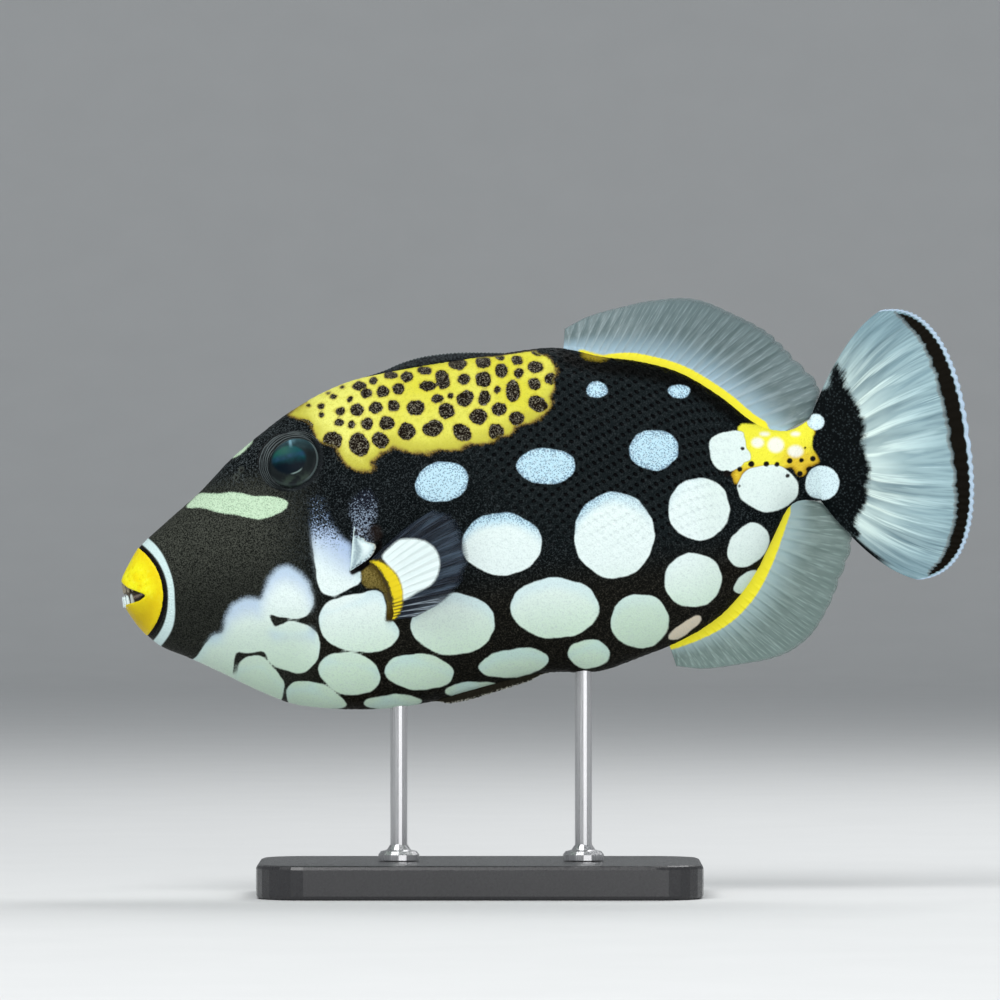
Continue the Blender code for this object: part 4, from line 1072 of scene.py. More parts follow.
def ray_profile(share, rays, v, forks):
    """Height of the rays, 0 to 1, at places along the root; each ray forks twice on its way out."""
    phase = share * rays % 1.0 - 0.5
    wide = 0.13 - 0.06 * v
    height = np.zeros(np.broadcast(phase, v).shape)
    first = np.clip((v - forks[0]) / (1.0 - forks[0]), 0.0, 1.0) * 0.25
    second = np.clip((v - forks[1]) / (1.0 - forks[1]), 0.0, 1.0) * 0.125
    for a in (-1, 1):
        for b in (-1, 1):
            centre = a * first + b * second
            height = np.maximum(height, np.exp(-((phase - centre) / wide) ** 2))
    return height * fade(v, 0.02, 0.16)


def wave_dorsal(u, v):
    """Sideways curl of the second dorsal fin."""
    return DORSAL_WAVE * v ** 1.5 * np.sin(2 * math.pi * (1.2 * u + 0.1))


def wave_anal(u, v):
    """Sideways curl of the anal fin."""
    return v ** 1.5 * (ANAL_WAVE * np.sin(2 * math.pi * (1.1 * u + 0.55)) * (1 - u) + ANAL_SET * u ** 2)


def median_fin(name, guides, rays, outline, wave, columns_per_ray, rows, seed):
    """A fin on the back or belly with forked rays in a thin membrane."""
    columns = rays * columns_per_ray + 1
    u, v = unit_grid(rows, columns)
    foot_x = smooth([(guide[0], guide[1]) for guide in guides], u)
    foot_z = smooth(outline, foot_x)
    tip_x = smooth([(guide[0], guide[2][0]) for guide in guides], u)
    tip_z = smooth([(guide[0], guide[2][1]) for guide in guides], u)
    ray = ray_profile(u, rays, v, (0.25, 0.6))
    rng = np.random.default_rng(seed)
    jag = np.interp(u * rays, np.arange(rays + 1), rng.random(rays + 1))
    frayed = 0.010 + 0.035 * fade(u, 0.6, 0.85)
    notch = 0.4 * jag + 0.6 * (1 - np.abs(np.sin(math.pi * u * rays)))
    reach = v * (1.0 - notch * frayed * fade(v, 0.5, 1.0))
    sink = 0.8 if outline is BACK else -0.8
    x = foot_x + (tip_x - foot_x) * reach
    z = foot_z + (tip_z - foot_z) * reach - sink * (1 - fade(reach, 0.0, 0.08))
    y = wave(u, v) + 0.10 * np.sin(2 * math.pi * u * rays) * fade(v, 0.05, 0.4)
    half = 0.12 + 0.17 * ray * (1 - 0.6 * v) + 0.5 * (1 - fade(v, 0.0, 0.14))
    length = np.hypot(tip_x - foot_x, tip_z - foot_z)
    if outline is BACK:
        yellow = 2.5 * np.maximum(0.35 * fade(u, 0.05, 0.09), fade(u, 0.10, 0.36)) * fade(u, 0.98, 0.95)
    else:
        yellow = (1.2 + 2.6 * np.sin(math.pi * u)) * fade(u, 0.975, 0.94)
    fields = {
        "ray": ray,
        "out": v + 0 * u,
        "strand": u * rays + 0 * v,
        "gold": yellow - reach * length,
    }
    return plate_piece(name, np.stack([x, y, z], axis=-1), half[..., None] * ACROSS, fields)


def fin_material(name, root, membrane, ray):
    """Translucent membrane over raised rays, yellow along the root."""
    looks = Looks(name)
    fine = looks.grain(0.5, 2.0)
    out = looks.field("out")
    rays = looks.field("ray")
    strands = looks.strands(1.6, 3.0)
    threads = looks.strands(7.0, 2.0)
    body = looks.blend(looks.step(out, 0.0, 0.55), root, membrane)
    bright = looks.times(looks.step(strands, 0.42, 0.72), looks.step(out, 1.0, 0.1, 0.15, 0.55))
    body = looks.blend(bright, body, ray)
    body = looks.blend(looks.times(looks.step(threads, 0.5, 0.75), 0.4), body, ray)
    lines = looks.times(looks.step(rays, 0.4, 0.9), looks.step(out, 1.0, 0.15, 0.20, 0.45))
    colour = looks.blend(lines, body, ray)
    ragged = looks.scaled(fine, 0.5, -0.25)
    gold = looks.step(looks.plus(looks.field("gold"), ragged), -0.25, 0.25)
    colour = looks.blend(gold, colour, (0.80, 0.72, 0.010))
    solid = looks.step(out, 0.0, 0.6, 0.95, 0.78)
    solid = looks.most(solid, looks.times(looks.step(rays, 0.3, 0.9), 0.92))
    solid = looks.times(solid, looks.step(out, 1.0, 0.93, 0.60, 1.0))
    solid = looks.most(solid, gold)
    relief = looks.bump(rays, 0.3, 0.25)
    relief = looks.bump(strands, 0.2, 0.25, relief)
    return looks.finish(
        Base_Color=colour, Roughness=0.42, Alpha=solid, Normal=relief, Specular_IOR_Level=0.3)


def make_median_fins():
    """Second dorsal and anal fins."""
    dorsal = median_fin("second_dorsal", DORSAL_GUIDES, DORSAL_RAYS, BACK, wave_dorsal, 9, 64, 11)
    looks = fin_material("dorsal_fin", (0.34, 0.50, 0.60), (0.11, 0.165, 0.17), (0.30, 0.38, 0.40))
    dorsal.data.materials.append(looks)
    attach(dorsal, "root")
    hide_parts("second_dorsal_fin")
    anal = median_fin("anal", ANAL_GUIDES, ANAL_RAYS, BELLY, wave_anal, 9, 64, 12)
    looks = fin_material("anal_fin_look", (0.34, 0.48, 0.50), (0.12, 0.18, 0.165), (0.30, 0.40, 0.38))
    anal.data.materials.append(looks)
    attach(anal, "root")
    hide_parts("anal_fin")


def caudal_point(u, v):
    """Points of the tail fin's middle plane."""
    root_z = CAUDAL_TOP + (CAUDAL_BOTTOM - CAUDAL_TOP) * u
    turn = math.pi * u
    cosine = np.cos(turn)
    spread = np.sign(cosine) * np.abs(cosine) ** (2 / CAUDAL_POWER)
    depth = np.clip(np.sin(turn), 0.0, 1.0) ** (2 / CAUDAL_POWER)
    tip_x = CAUDAL_CORNER + CAUDAL_REAR * depth
    tip_z = CAUDAL_AXIS + CAUDAL_SPREAD * spread
    bow_x = (CAUDAL_ROOT + tip_x) / 2
    bow_z = (root_z + tip_z) / 2 + CAUDAL_BULGE * spread
    x = (1 - v) ** 2 * CAUDAL_ROOT + 2 * v * (1 - v) * bow_x + v ** 2 * tip_x
    z = (1 - v) ** 2 * root_z + 2 * v * (1 - v) * bow_z + v ** 2 * tip_z
    length = np.hypot(tip_x - CAUDAL_ROOT, tip_z - root_z)
    return x, z, length


CAUDAL_INK = [
    (800, 400), (826, 388), (834, 368), (838, 366), (846, 384), (858, 406), (864, 440), (868, 478),
    (867, 495), (861, 510), (857, 522), (858, 534), (852, 540), (840, 530), (800, 510),
]
CAUDAL_RIM = [(0.0, 3.2), (0.06, 2.6), (0.15, 1.8), (0.3, 1.4), (0.8, 1.4), (0.93, 1.9), (1.0, 2.6)]
CAUDAL_BAND = [  # reach of the dark band from the margin, in millimetres, round the fin
    (0.0, -4.0), (0.035, -2.0), (0.06, 1.8), (0.12, 4.6), (0.22, 5.8), (0.38, 6.5), (0.5, 6.2),
    (0.65, 5.6), (0.80, 5.6), (0.92, 4.4), (0.955, 1.6), (0.98, -3.0), (1.0, -4.0),
]


def make_caudal():
    """The tail fin: scaly black base, forked rays, a dark band inside a pale edge."""
    columns, rows = CAUDAL_RAYS * 18 + 1, 110
    u, v = unit_grid(rows, columns)
    rays = ray_profile(u, CAUDAL_RAYS, v, (0.22, 0.48)) * fade(v, 0.18, 0.42)
    rng = np.random.default_rng(21)
    count = CAUDAL_RAYS * 4
    uneven = 0.012 * (1 - np.abs(np.sin(math.pi * u * count)))
    reach = v * (1.0 - uneven * fade(v, 0.8, 1.0))
    x, z, length = caudal_point(u, reach)
    foot_level = CAUDAL_TOP + (CAUDAL_BOTTOM - CAUDAL_TOP) * u
    foot = np.maximum(flank(CAUDAL_FLESH, foot_level), 0.45)
    flesh = np.clip(1.0 - v / 0.45, 0.0, 1.0) ** 1.6
    grains = rng.normal(0.0, 0.035, x.shape) * fade(flesh, 0.05, 0.3)
    half = 0.14 + 0.22 * rays * (1 - 0.55 * v) + (foot - 0.3) * flesh + grains
    y = 1.5 * v ** 2 + 0.8 * v * np.sin(3 * math.pi * u)
    middle = np.stack([x, y, z], axis=-1)
    place = photo_place(middle)
    fields = {
        "ray": rays,
        "out": v + 0 * u,
        "ink": inside_curve(wobble(place, 1.6, 30.0, 9), CAUDAL_INK),
        "white": union(place, [spot for spot in WHITE_SPOTS if spot[0] > 810]),
        "patch": inside_curve(place, STEM_PATCH),
        "edge": (1 - v) * length,
        "band": smooth(CAUDAL_BAND, u) + 0 * v,
        "rim": smooth(CAUDAL_RIM, u) + 0 * v,
        "flat": np.maximum(fade(u, 0.26, 0.10), 0.75 * fade(u, 0.80, 0.93)) + 0 * v,
        "lower_line": fade(1 - u, 0.034, 0.012) * fade(v, 0.70, 0.52) * fade(v, 0.2, 0.3),
        "strand": u * CAUDAL_RAYS + 0 * v,
    }
    fin = plate_piece("caudal", middle, half[..., None] * ACROSS, fields)
    fin.data.materials.append(caudal_material())
    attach(fin, "root")
    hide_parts("caudal_fin")


def caudal_material():
    """Pale rays in a grey-blue membrane, black at the root and in a band near the edge."""
    looks = Looks("caudal_fin_look")
    fine = looks.grain(0.6, 3.0, 0.6)
    blotch = looks.grain(3.0, 2.0)
    specks = looks.cells(0.8)
    rays = looks.field("ray")
    out = looks.field("out")
    broad = looks.strands(0.8, 1.2)
    threads = looks.strands(5.0, 2.0)
    hairs = looks.strands(15.0, 3.0)
    membrane = looks.blend(looks.step(broad, 0.38, 0.62), (0.10, 0.20, 0.245), (0.21, 0.35, 0.40))
    pale = looks.blend(looks.step(out, 0.30, 0.85), (0.72, 0.86, 0.80), (0.54, 0.74, 0.77))
    swing = looks.scaled(looks.strands(0.55, 0.8), 7.0, looks.times(looks.field("strand"), 3.8))
    bundle = looks.step(looks.size(looks.sum("SINE", swing)), 0.50, 1.0)
    bundle = looks.times(bundle, looks.step(threads, 0.32, 0.56, 0.45, 1.0))
    bundle = looks.times(bundle, looks.step(hairs, 0.30, 0.60, 0.65, 1.0))
    lines = looks.times(bundle, looks.step(out, 0.95, 0.35, 0.50, 0.95))
    thin = looks.times(looks.step(rays, 0.1, 1.0), looks.step(out, 0.3, 1.0, 0.30, 0.40))
    lines = looks.most(lines, thin)
    fringe = looks.times(looks.step(hairs, 0.45, 0.75), looks.step(out, 0.35, 0.70, 0.15, 0.60))
    lines = looks.most(lines, looks.times(looks.step(threads, 0.35, 0.75), 0.40))
    lines = looks.most(lines, fringe)
    # Fewer pale streaks towards the fin's top and bottom leave them darker: painted shade.
    calm = looks.scaled(looks.field("flat"), -0.7, 1.0)
    lines = looks.times(lines, calm)
    glow = looks.times(looks.step(out, 0.80, 0.30), looks.step(broad, 0.30, 0.70, 0.15, 0.75))
    lines = looks.most(lines, glow)
    colour = looks.blend(lines, membrane, pale)
    ragged = looks.scaled(fine, 6.0, -3.0)
    inked = looks.scaled(threads, 9.0, looks.less(looks.field("ink"), 4.5))
    ink = looks.step(looks.plus(inked, ragged), -4.5, 3.0)
    ink = looks.most(ink, looks.field("lower_line"))
    glints = looks.times(looks.step(specks, 0.55, 0.12), looks.step(fine, 0.35, 0.65))
    colour = looks.blend(ink, colour, looks.blend(glints, BLACK, CHARCOAL))
    spot = looks.step(looks.scaled(fine, 1.6, looks.less(looks.field("white"), 0.8)), -0.9, 0.9)
    gold = looks.step(looks.field("patch"), -1.2, 1.2)
    colour = looks.blend(gold, colour, (0.42, 0.28, 0.012))
    dots = looks.cells(0.52)
    milky = looks.blend(0.34, WHITE, BLUE_WHITE)
    dotted = looks.blend(looks.times(looks.step(dots, 0.46, 0.30), 0.26), milky, STIPPLE)
    colour = looks.blend(spot, colour, dotted)
    edge = looks.scaled(blotch, 0.9, looks.less(looks.field("edge"), 0.45))
    jagged = looks.scaled(threads, -2.6, looks.plus(edge, 1.3))
    within = looks.less(looks.field("band"), jagged)
    colour = looks.blend(looks.step(looks.size(within), 0.8, 0.1, 0.0, 0.5), colour, (0.10, 0.07, 0.05))
    outside = looks.less(edge, looks.field("rim"))
    band = looks.times(looks.step(outside, -0.3, 0.3), looks.step(within, -0.2, 0.9))
    colour = looks.blend(band, colour, (0.0045, 0.0035, 0.0020))
    colour = looks.blend(looks.step(looks.field("edge"), 1.5, 0.9), colour, (0.46, 0.60, 0.74))
    solid = looks.most(looks.step(lines, 0.1, 0.8, 0.72, 0.97), looks.most(ink, band))
    relief = looks.bump(rays, 0.3, 0.25)
    relief = looks.bump(threads, 0.15, 0.2, relief)
    shine = looks.step(looks.most(ink, band), 0.0, 1.0, 0.22, 0.03)
    return looks.finish(
        Base_Color=colour, Roughness=0.45, Alpha=solid, Normal=relief, Specular_IOR_Level=shine)


PECTORAL_SPOT = [
    (382.8, 556.6), (390, 547), (399, 540), (407, 538.6), (415.7, 538.8), (426.6, 541.6), (436, 549.8),
    (440, 562), (437.5, 575.8), (430.7, 585), (418, 592), (408.8, 597.6), (403, 599), (402, 589),
    (398, 576), (391, 567.5),
]
CRESCENT = [
    (371.6, 560.6), (376, 559.6), (381.5, 560.7), (391, 567.5), (397.9, 575.8), (402.7, 588),
    (403.2, 600.4), (400.6, 611.3), (393.8, 620), (385.6, 618.5), (391, 614), (393.8, 608),
    (394, 600), (392.4, 593.5), (390.4, 586), (387, 578.5), (382.5, 571), (377.4, 564.8),
]


def make_pectoral(name, side):
    """A pectoral fin swung out from the flank."""
    columns, rows = PECTORAL_RAYS * 10 + 1, 60
    u, v = unit_grid(rows, columns)
    spread = math.tan(PECTORAL_SWING[name])

    def guide(place, axis):
        return smooth([(item[0], item[place][axis]) for item in PECTORAL_GUIDES], u)

    rays = ray_profile(u, PECTORAL_RAYS, v, (0.3, 0.62)) * fade(v, 0.05, 0.3)
    rng = np.random.default_rng(31)
    count = PECTORAL_RAYS + 1
    uneven = 0.03 * rng.random(count)[np.clip((u * count).astype(int), 0, count - 1)]
    reach = v * (1.0 - uneven * fade(v, 0.5, 1.0) - 0.02 * (1 - rays) * fade(v, 0.7, 1.0))
    foot_x, foot_z = guide(1, 0), guide(1, 1)
    x = foot_x + (guide(2, 0) - foot_x) * reach
    z = foot_z + (guide(2, 1) - foot_z) * reach + 1.2 * np.sin(math.pi * reach) * (1 - u)
    away = np.hypot(x - foot_x, z - foot_z)
    wave = 0.5 * np.sin(2 * math.pi * u * 1.5) * v ** 1.5
    wave = wave + 0.12 * np.sin(2 * math.pi * u * PECTORAL_RAYS) * v
    y = side * (flank(x, z) + spread * away + wave - 0.6 * (1 - fade(v, 0.0, 0.1)))
    middle = np.stack([x, y, z], axis=-1)
    normals = grid_normals(middle, False)
    half = 0.12 + 0.15 * rays * (1 - 0.6 * v) + 0.8 * (1 - fade(v, 0.0, 0.30))
    place = marking_place(middle)
    fields = {
        "ray": rays,
        "out": v + 0 * u,
        "spot": inside_curve(place, PECTORAL_SPOT),
        "crescent": inside_curve(place, CRESCENT),
        "foot": inside_curve(place, FOOT_PATCH),
        "comb": fade(place[..., 1], 594.0, 604.0),
        "strand": u * PECTORAL_RAYS + 0 * v,
    }
    fin = plate_piece(f"pectoral_{name}", middle, -normals * half[..., None], fields)
    fin.data.materials.append(pectoral_material(name))
    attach(fin, "root")
    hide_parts(f"pectoral_fin_{name}")


def pectoral_material(name):
    """Smoky membrane with pale rays, a yellow crescent and a white spot."""
    looks = Looks(f"pectoral_look_{name}")
    fine = looks.grain(0.5, 2.0)
    ragged = looks.scaled(fine, 1.6, -0.8)
    rays = looks.field("ray")
    threads = looks.strands(2.2, 1.6)
    broad = looks.strands(0.9, 1.0)
    smoky = looks.blend(looks.step(threads, 0.30, 0.80), (0.004, 0.006, 0.011), (0.016, 0.026, 0.042))
    # Lighter blue-grey along broad streaks towards the tip: painted highlights.
    far = looks.step(looks.field("out"), 0.45, 0.95, 0.35, 0.95)
    smoky = looks.blend(looks.times(looks.step(broad, 0.46, 0.66), far), smoky, (0.055, 0.085, 0.120))
    lines = looks.times(looks.step(rays, 0.3, 1.0), looks.step(threads, 0.3, 0.7, 0.02, 0.16))
    colour = looks.blend(lines, smoky, (0.16, 0.20, 0.27))
    comb = looks.field("comb")
    low = looks.times(looks.times(comb, looks.step(rays, 0.4, 0.9)), 0.7)
    colour = looks.blend(low, colour, (0.42, 0.50, 0.56))
    spot = looks.step(looks.plus(looks.field("spot"), ragged), -1.6, 1.6)
    milky = looks.blend(looks.step(threads, 0.20, 0.65), (0.73, 0.86, 0.85), (0.79, 0.90, 0.89))
    colour = looks.blend(spot, colour, milky)
    crescent = looks.step(looks.scaled(ragged, 2.0, looks.field("crescent")), -1.5, 1.5)
    stripes = looks.step(looks.sum("SINE", looks.times(looks.field("strand"), 3 * math.pi)), -0.2, 0.6)
    combed = looks.times(comb, looks.times(stripes, 0.8))
    yellow = looks.blend(combed, (0.80, 0.62, 0.008), (0.07, 0.05, 0.008))
    colour = looks.blend(crescent, colour, yellow)
    foot = looks.step(looks.field("foot"), -0.8, 0.8)
    foot = looks.times(foot, looks.less(1.0, crescent))
    olive = olive_look(looks, fine, looks.step(looks.field("crescent"), -11.0, -1.0))
    colour = looks.blend(foot, colour, olive)
    solid = looks.step(rays, 0.2, 0.9, 0.74, 0.92)
    solid = looks.times(solid, looks.step(looks.field("out"), 1.0, 0.90, 0.15, 1.0))
    for mark in (spot, crescent, foot):
        solid = looks.most(solid, looks.times(mark, 0.98))
    relief = looks.bump(rays, 0.12, 0.2)
    relief = looks.bump(threads, 0.12, 0.2, relief)
    return looks.finish(
        Base_Color=colour, Roughness=0.40, Alpha=solid, Normal=relief, Specular_IOR_Level=0.22)


def make_pelvic_flap():
    """The thin rough keel behind the pelvic spine."""
    columns, rows = 181, 14
    u, v = unit_grid(rows, columns)
    x = PELVIC_EDGE[0][0] + (PELVIC_EDGE[-1][0] - PELVIC_EDGE[0][0]) * u
    rng = np.random.default_rng(41)
    teeth = 0.5 + 0.5 * np.sin(2 * math.pi * (x / 1.3 + 0.3 * np.sin(x)))
    ragged = 0.15 * teeth ** 3 + 0.10 * rng.random(columns)[None, :]
    root = smooth(BELLY, x) + 0.8
    ends = fade(u, 0.0, 0.14) * fade(u, 1.0, 0.80)
    edge = (smooth(PELVIC_EDGE, x) + 0.35 - ragged) * ends + (root - 1.0) * (1.0 - ends)
    z = root + (edge - root) * v
    half = 0.9 * (1 - v) ** 0.7 + 0.18 + 0.10 * teeth * v
    y = 0.25 * np.sin(x * 0.9) * v
    fields = {"out": v + 0 * u}
    middle = np.stack([x + 0 * v, y, z], axis=-1)
    flap = plate_piece("pelvic_keel", middle, half[..., None] * ACROSS, fields)
    looks = Looks("pelvic_keel_look")
    fine = looks.grain(0.5, 2.0)
    pale = looks.times(looks.step(looks.field("out"), 0.78, 0.98), looks.step(fine, 0.46, 0.60))
    colour = looks.blend(pale, looks.blend(fine, WARM_BLACK, WARM_GREY), (0.50, 0.50, 0.42))
    relief = looks.bump(fine, 0.4, 0.2)
    flap.data.materials.append(
        looks.finish(Base_Color=colour, Roughness=0.6, Normal=relief, Specular_IOR_Level=0.04))
    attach(flap, "root")
    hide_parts("pelvic_flap")


def make_first_dorsal():
    """The folded spine of the first dorsal fin, rough along its upper edge, with a painted highlight
    along its top.
    """
    rows, columns = 220, 28
    x = np.linspace(SPINE_SPAN[0], SPINE_SPAN[1], rows)[:, None]
    angle = np.linspace(0.0, 2 * math.pi, columns, endpoint=False)[None, :]
    crest = smooth(SPINE_CREST, x)
    size = 0.45 + 0.55 * crest / SPINE_CREST[3][1]
    ridge = 1.0 - 0.10 * np.clip(np.sin(angle), 0, 1) ** 2 * np.abs(np.sin(math.pi * x / 1.1)) ** 2
    wide = SPINE_HALF_WIDTH * size * ridge
    tall = SPINE_HALF_HEIGHT * size
    level = smooth(BACK, x) + crest - tall
    tall = tall * ridge
    y = wide * np.cos(angle)
    z = level + tall * np.sin(angle)
    grid = np.stack([x + 0 * angle, y, z], axis=-1)
    points, faces = capped_tube(grid)
    top = np.append(np.repeat(np.clip(np.sin(angle), 0, 1), rows, axis=0).ravel(), [0.0, 0.0])
    spine = add_piece("first_dorsal_spine", points, faces, {"top": top})
    outward(spine)
    looks = Looks("spine_look")
    fine = looks.grain(0.45, 3.0)
    colour = looks.blend(looks.step(fine, 0.35, 0.7), (0.002, 0.003, 0.004), (0.030, 0.037, 0.042))
    # Lighter grain along the top: painted highlight.
    crown = looks.times(looks.step(looks.field("top"), 0.72, 0.98), looks.step(fine, 0.3, 0.6))
    colour = looks.blend(looks.times(crown, 0.6), colour, (0.12, 0.15, 0.15))
    relief = looks.bump(fine, 0.5, 0.25)
    spine.data.materials.append(
        looks.finish(Base_Color=colour, Roughness=0.5, Normal=relief, Specular_IOR_Level=0.08))
    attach(spine, "root")
    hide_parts("first_dorsal_fin")


# Head: lips, teeth, eyes and gills

def prism(name, outline, half):
    """A block with an outline in x and z, both ways across y."""
    count = len(outline)
    points = [(x, y, z) for y in (-half, half) for x, z in outline]
    faces = [list(range(count)), list(range(2 * count - 1, count - 1, -1))]
    for index in range(count):
        after = (index + 1) % count
        faces.append([index, index + count, after + count, after])
    block = add_piece(name, np.array(points), faces)
    outward(block)
    return block


def settled(thing):
    """The mesh of an object with its modifiers applied."""
    bpy.context.view_layer.update()
    graph = bpy.context.evaluated_depsgraph_get()
    return bpy.data.meshes.new_from_object(thing.evaluated_get(graph), depsgraph=graph)


def make_lips():
    """The yellow lips: cut from the snout, rounded, with the mouth between them."""
    points = []
    for x in LIP_STATIONS:
        top, bottom = float(smooth(BACK, x)), float(smooth(BELLY, x))
        middle = bottom + WAIST * (top - bottom)
        wide = float(smooth(HALF_WIDTH, x))
        for step in range(LIP_SIDES):
            angle = 2 * math.pi * step / LIP_SIDES
            cosine, sine = math.cos(angle), math.sin(angle)
            above = sine >= 0
            power = 2 / (UPPER_POWER if above else LOWER_POWER)
            reach = top - middle if above else middle - bottom
            y = wide * math.copysign(abs(cosine) ** power, cosine)
            z = middle + reach * math.copysign(abs(sine) ** power, sine)
            points.append((x, y * LIP_PROUD, middle + (z - middle) * LIP_PROUD))
    faces = grid_faces(len(LIP_STATIONS), LIP_SIDES, True).tolist()
    faces.append(list(range(LIP_SIDES)))
    faces.append(list(range(len(points) - LIP_SIDES, len(points))))
    lips = add_piece("lips", points, faces)
    outward(lips)
    radius = LIP_RADIUS - 0.1
    turns = [2 * math.pi * step / LIP_ROUNDER_SIDES for step in range(LIP_ROUNDER_SIDES)]
    circle = [
        (LIP_CENTRE[0] + radius * math.cos(turn), LIP_CENTRE[1] + radius * math.sin(turn))
        for turn in turns
    ]
    rounder = prism("lip_rounder", circle, CUTTER_HALF)
    mouth = prism("mouth_wedge", MOUTH, CUTTER_HALF)
    for operation, cutter in (("INTERSECT", rounder), ("DIFFERENCE", mouth)):
        cut = lips.modifiers.new(operation.lower(), "BOOLEAN")
        cut.operation = operation
        cut.solver = "EXACT"
        cut.object = cutter
    remesh = lips.modifiers.new("remesh", "REMESH")
    remesh.mode = "VOXEL"
    remesh.voxel_size = LIP_VOXEL * MM
    remesh.use_smooth_shade = True
    relax = lips.modifiers.new("relax", "SMOOTH")
    relax.factor = 0.5
    relax.iterations = 9
    mesh = settled(lips)
    lips.modifiers.clear()
    old = lips.data
    lips.data = mesh
    bpy.data.meshes.remove(old)
    for helper in (rounder, mouth):
        bpy.data.objects.remove(helper)
    finish_lips(lips)


def from_world(points):
    """World metres as millimetres of the fish's frame."""
    moved = points / MM - np.array(SNOUT_AT)
    cosine, sine = math.cos(PITCH), math.sin(PITCH)
    x = moved[:, 0] * cosine + moved[:, 2] * sine
    z = moved[:, 2] * cosine - moved[:, 0] * sine
    return np.stack([x, moved[:, 1], z], axis=-1)


def finish_lips(lips):
    """Fields, material and place of the lips."""
    count = len(lips.data.vertices)
    flat = np.empty(count * 3)
    lips.data.vertices.foreach_get("co", flat)
    points = from_world(flat.reshape(-1, 3))
    x, y, z = points.T
    depth = flank(np.maximum(x, 0.0), z) - np.abs(y)
    ring = np.hypot(x - LIP_CENTRE[0], z - LIP_CENTRE[1])
    wedge = inside_outline(np.stack([x, z], -1), MOUTH)
    fields = {
        "inner": fade(depth, 0.6, 1.6) * fade(wedge, -0.7, -0.2) * (1 - fade(ring, 15.0, 15.8)),
        "low": fade(z, 0.6, -4.6) * fade(ring, 17.0, 13.5) + 0.8 * fade(z, -3.0, -12.0),
        "rear": ring,
    }
    set_fields(lips.data, fields)
    looks = Looks("lip_look")
    broad = looks.grain(3.0, 2.0)
    fine = looks.grain(0.5, 2.0)
    colour = looks.blend(looks.step(broad, 0.35, 0.65), (0.84, 0.80, 0.010), (0.82, 0.68, 0.004))
    medium = looks.grain(1.1, 3.0, 0.6)
    colour = looks.blend(looks.step(medium, 0.50, 0.72, 0.0, 0.5), colour, (0.86, 0.86, 0.06))
    colour = looks.blend(looks.times(looks.field("low"), 0.75), colour, (0.54, 0.39, 0.002))
    colour = looks.blend(looks.step(medium, 0.46, 0.28, 0.0, 0.4), colour, (0.50, 0.38, 0.004))
    rear = looks.step(looks.field("rear"), 11.5, 16.0, 0.0, 0.6)
    colour = looks.blend(rear, colour, (0.72, 0.52, 0.002))
    colour = looks.blend(looks.field("inner"), colour, (0.055, 0.038, 0.024))
    relief = looks.bump(fine, 0.4, 0.12)
    relief = looks.bump(medium, 0.35, 0.25, relief)
    relief = looks.bump(broad, 0.3, 0.5, relief)
    lips.data.materials.clear()
    lips.data.materials.append(
        looks.finish(Base_Color=colour, Roughness=0.42, Normal=relief, Specular_IOR_Level=0.14))
    lips.data.shade_smooth()
    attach(lips, "root")
    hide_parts("lip_upper", "lip_lower")


def make_teeth():
    """Two short rows of chisel teeth inside the lips."""
    rows = []
    for root, edge, front in TOOTH_ROWS:
        for place in range(TEETH_IN_ROW):
            y = (place - (TEETH_IN_ROW - 1) / 2) * TOOTH_PITCH
            back = 0.13 * y * y
            rows.append((front + back, y, root - 0.25 * back, edge + 0.22 * back))
    rings, sides = TOOTH_RINGS, TOOTH_SIDES
    points, faces = [], []
    for x, y, root, edge in rows:
        start = len(points)
        for ring in range(rings):
            share = ring / (rings - 1)
            end = math.sqrt(max(1 - (max(share - 0.7, 0) / 0.3) ** 2, 0.02))
            wide = TOOTH_HALF_WIDTH * end
            deep = (TOOTH_HALF_DEPTH - 0.25 * share) * end
            level = root + (edge - root) * share
            for side in range(sides):
                angle = 2 * math.pi * side / sides
                reach = x - 0.3 * share + deep * math.cos(angle)
                points.append((reach, y + wide * math.sin(angle), level))
        faces += (grid_faces(rings, sides, True) + start).tolist()
        faces.append(list(range(start, start + sides)))
        faces.append(list(range(start + (rings - 1) * sides, start + rings * sides)))
    points = np.array(points)
    upper = np.arange(len(points)) < len(points) // 2
    teeth = add_piece("teeth", points, faces, {"upper": upper.astype(float), "back": points[:, 0]})
    outward(teeth)
    looks = Looks("tooth_look")
    fine = looks.grain(0.8, 2.0)
    colour = looks.blend(fine, (0.55, 0.66, 0.66), (0.76, 0.86, 0.85))
    rear = looks.step(looks.field("back"), 1.6, 3.6, 0.0, 0.8)
    colour = looks.blend(rear, colour, (0.30, 0.30, 0.28))
    shaded = looks.blend(fine, (0.20, 0.17, 0.12), (0.36, 0.32, 0.24))
    colour = looks.blend(looks.field("upper"), colour, shaded)
    relief = looks.bump(fine, 0.1, 0.1)
    teeth.data.materials.append(looks.finish(Base_Color=colour, Roughness=0.42, Normal=relief))
    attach(teeth, "root")
    make_gums()


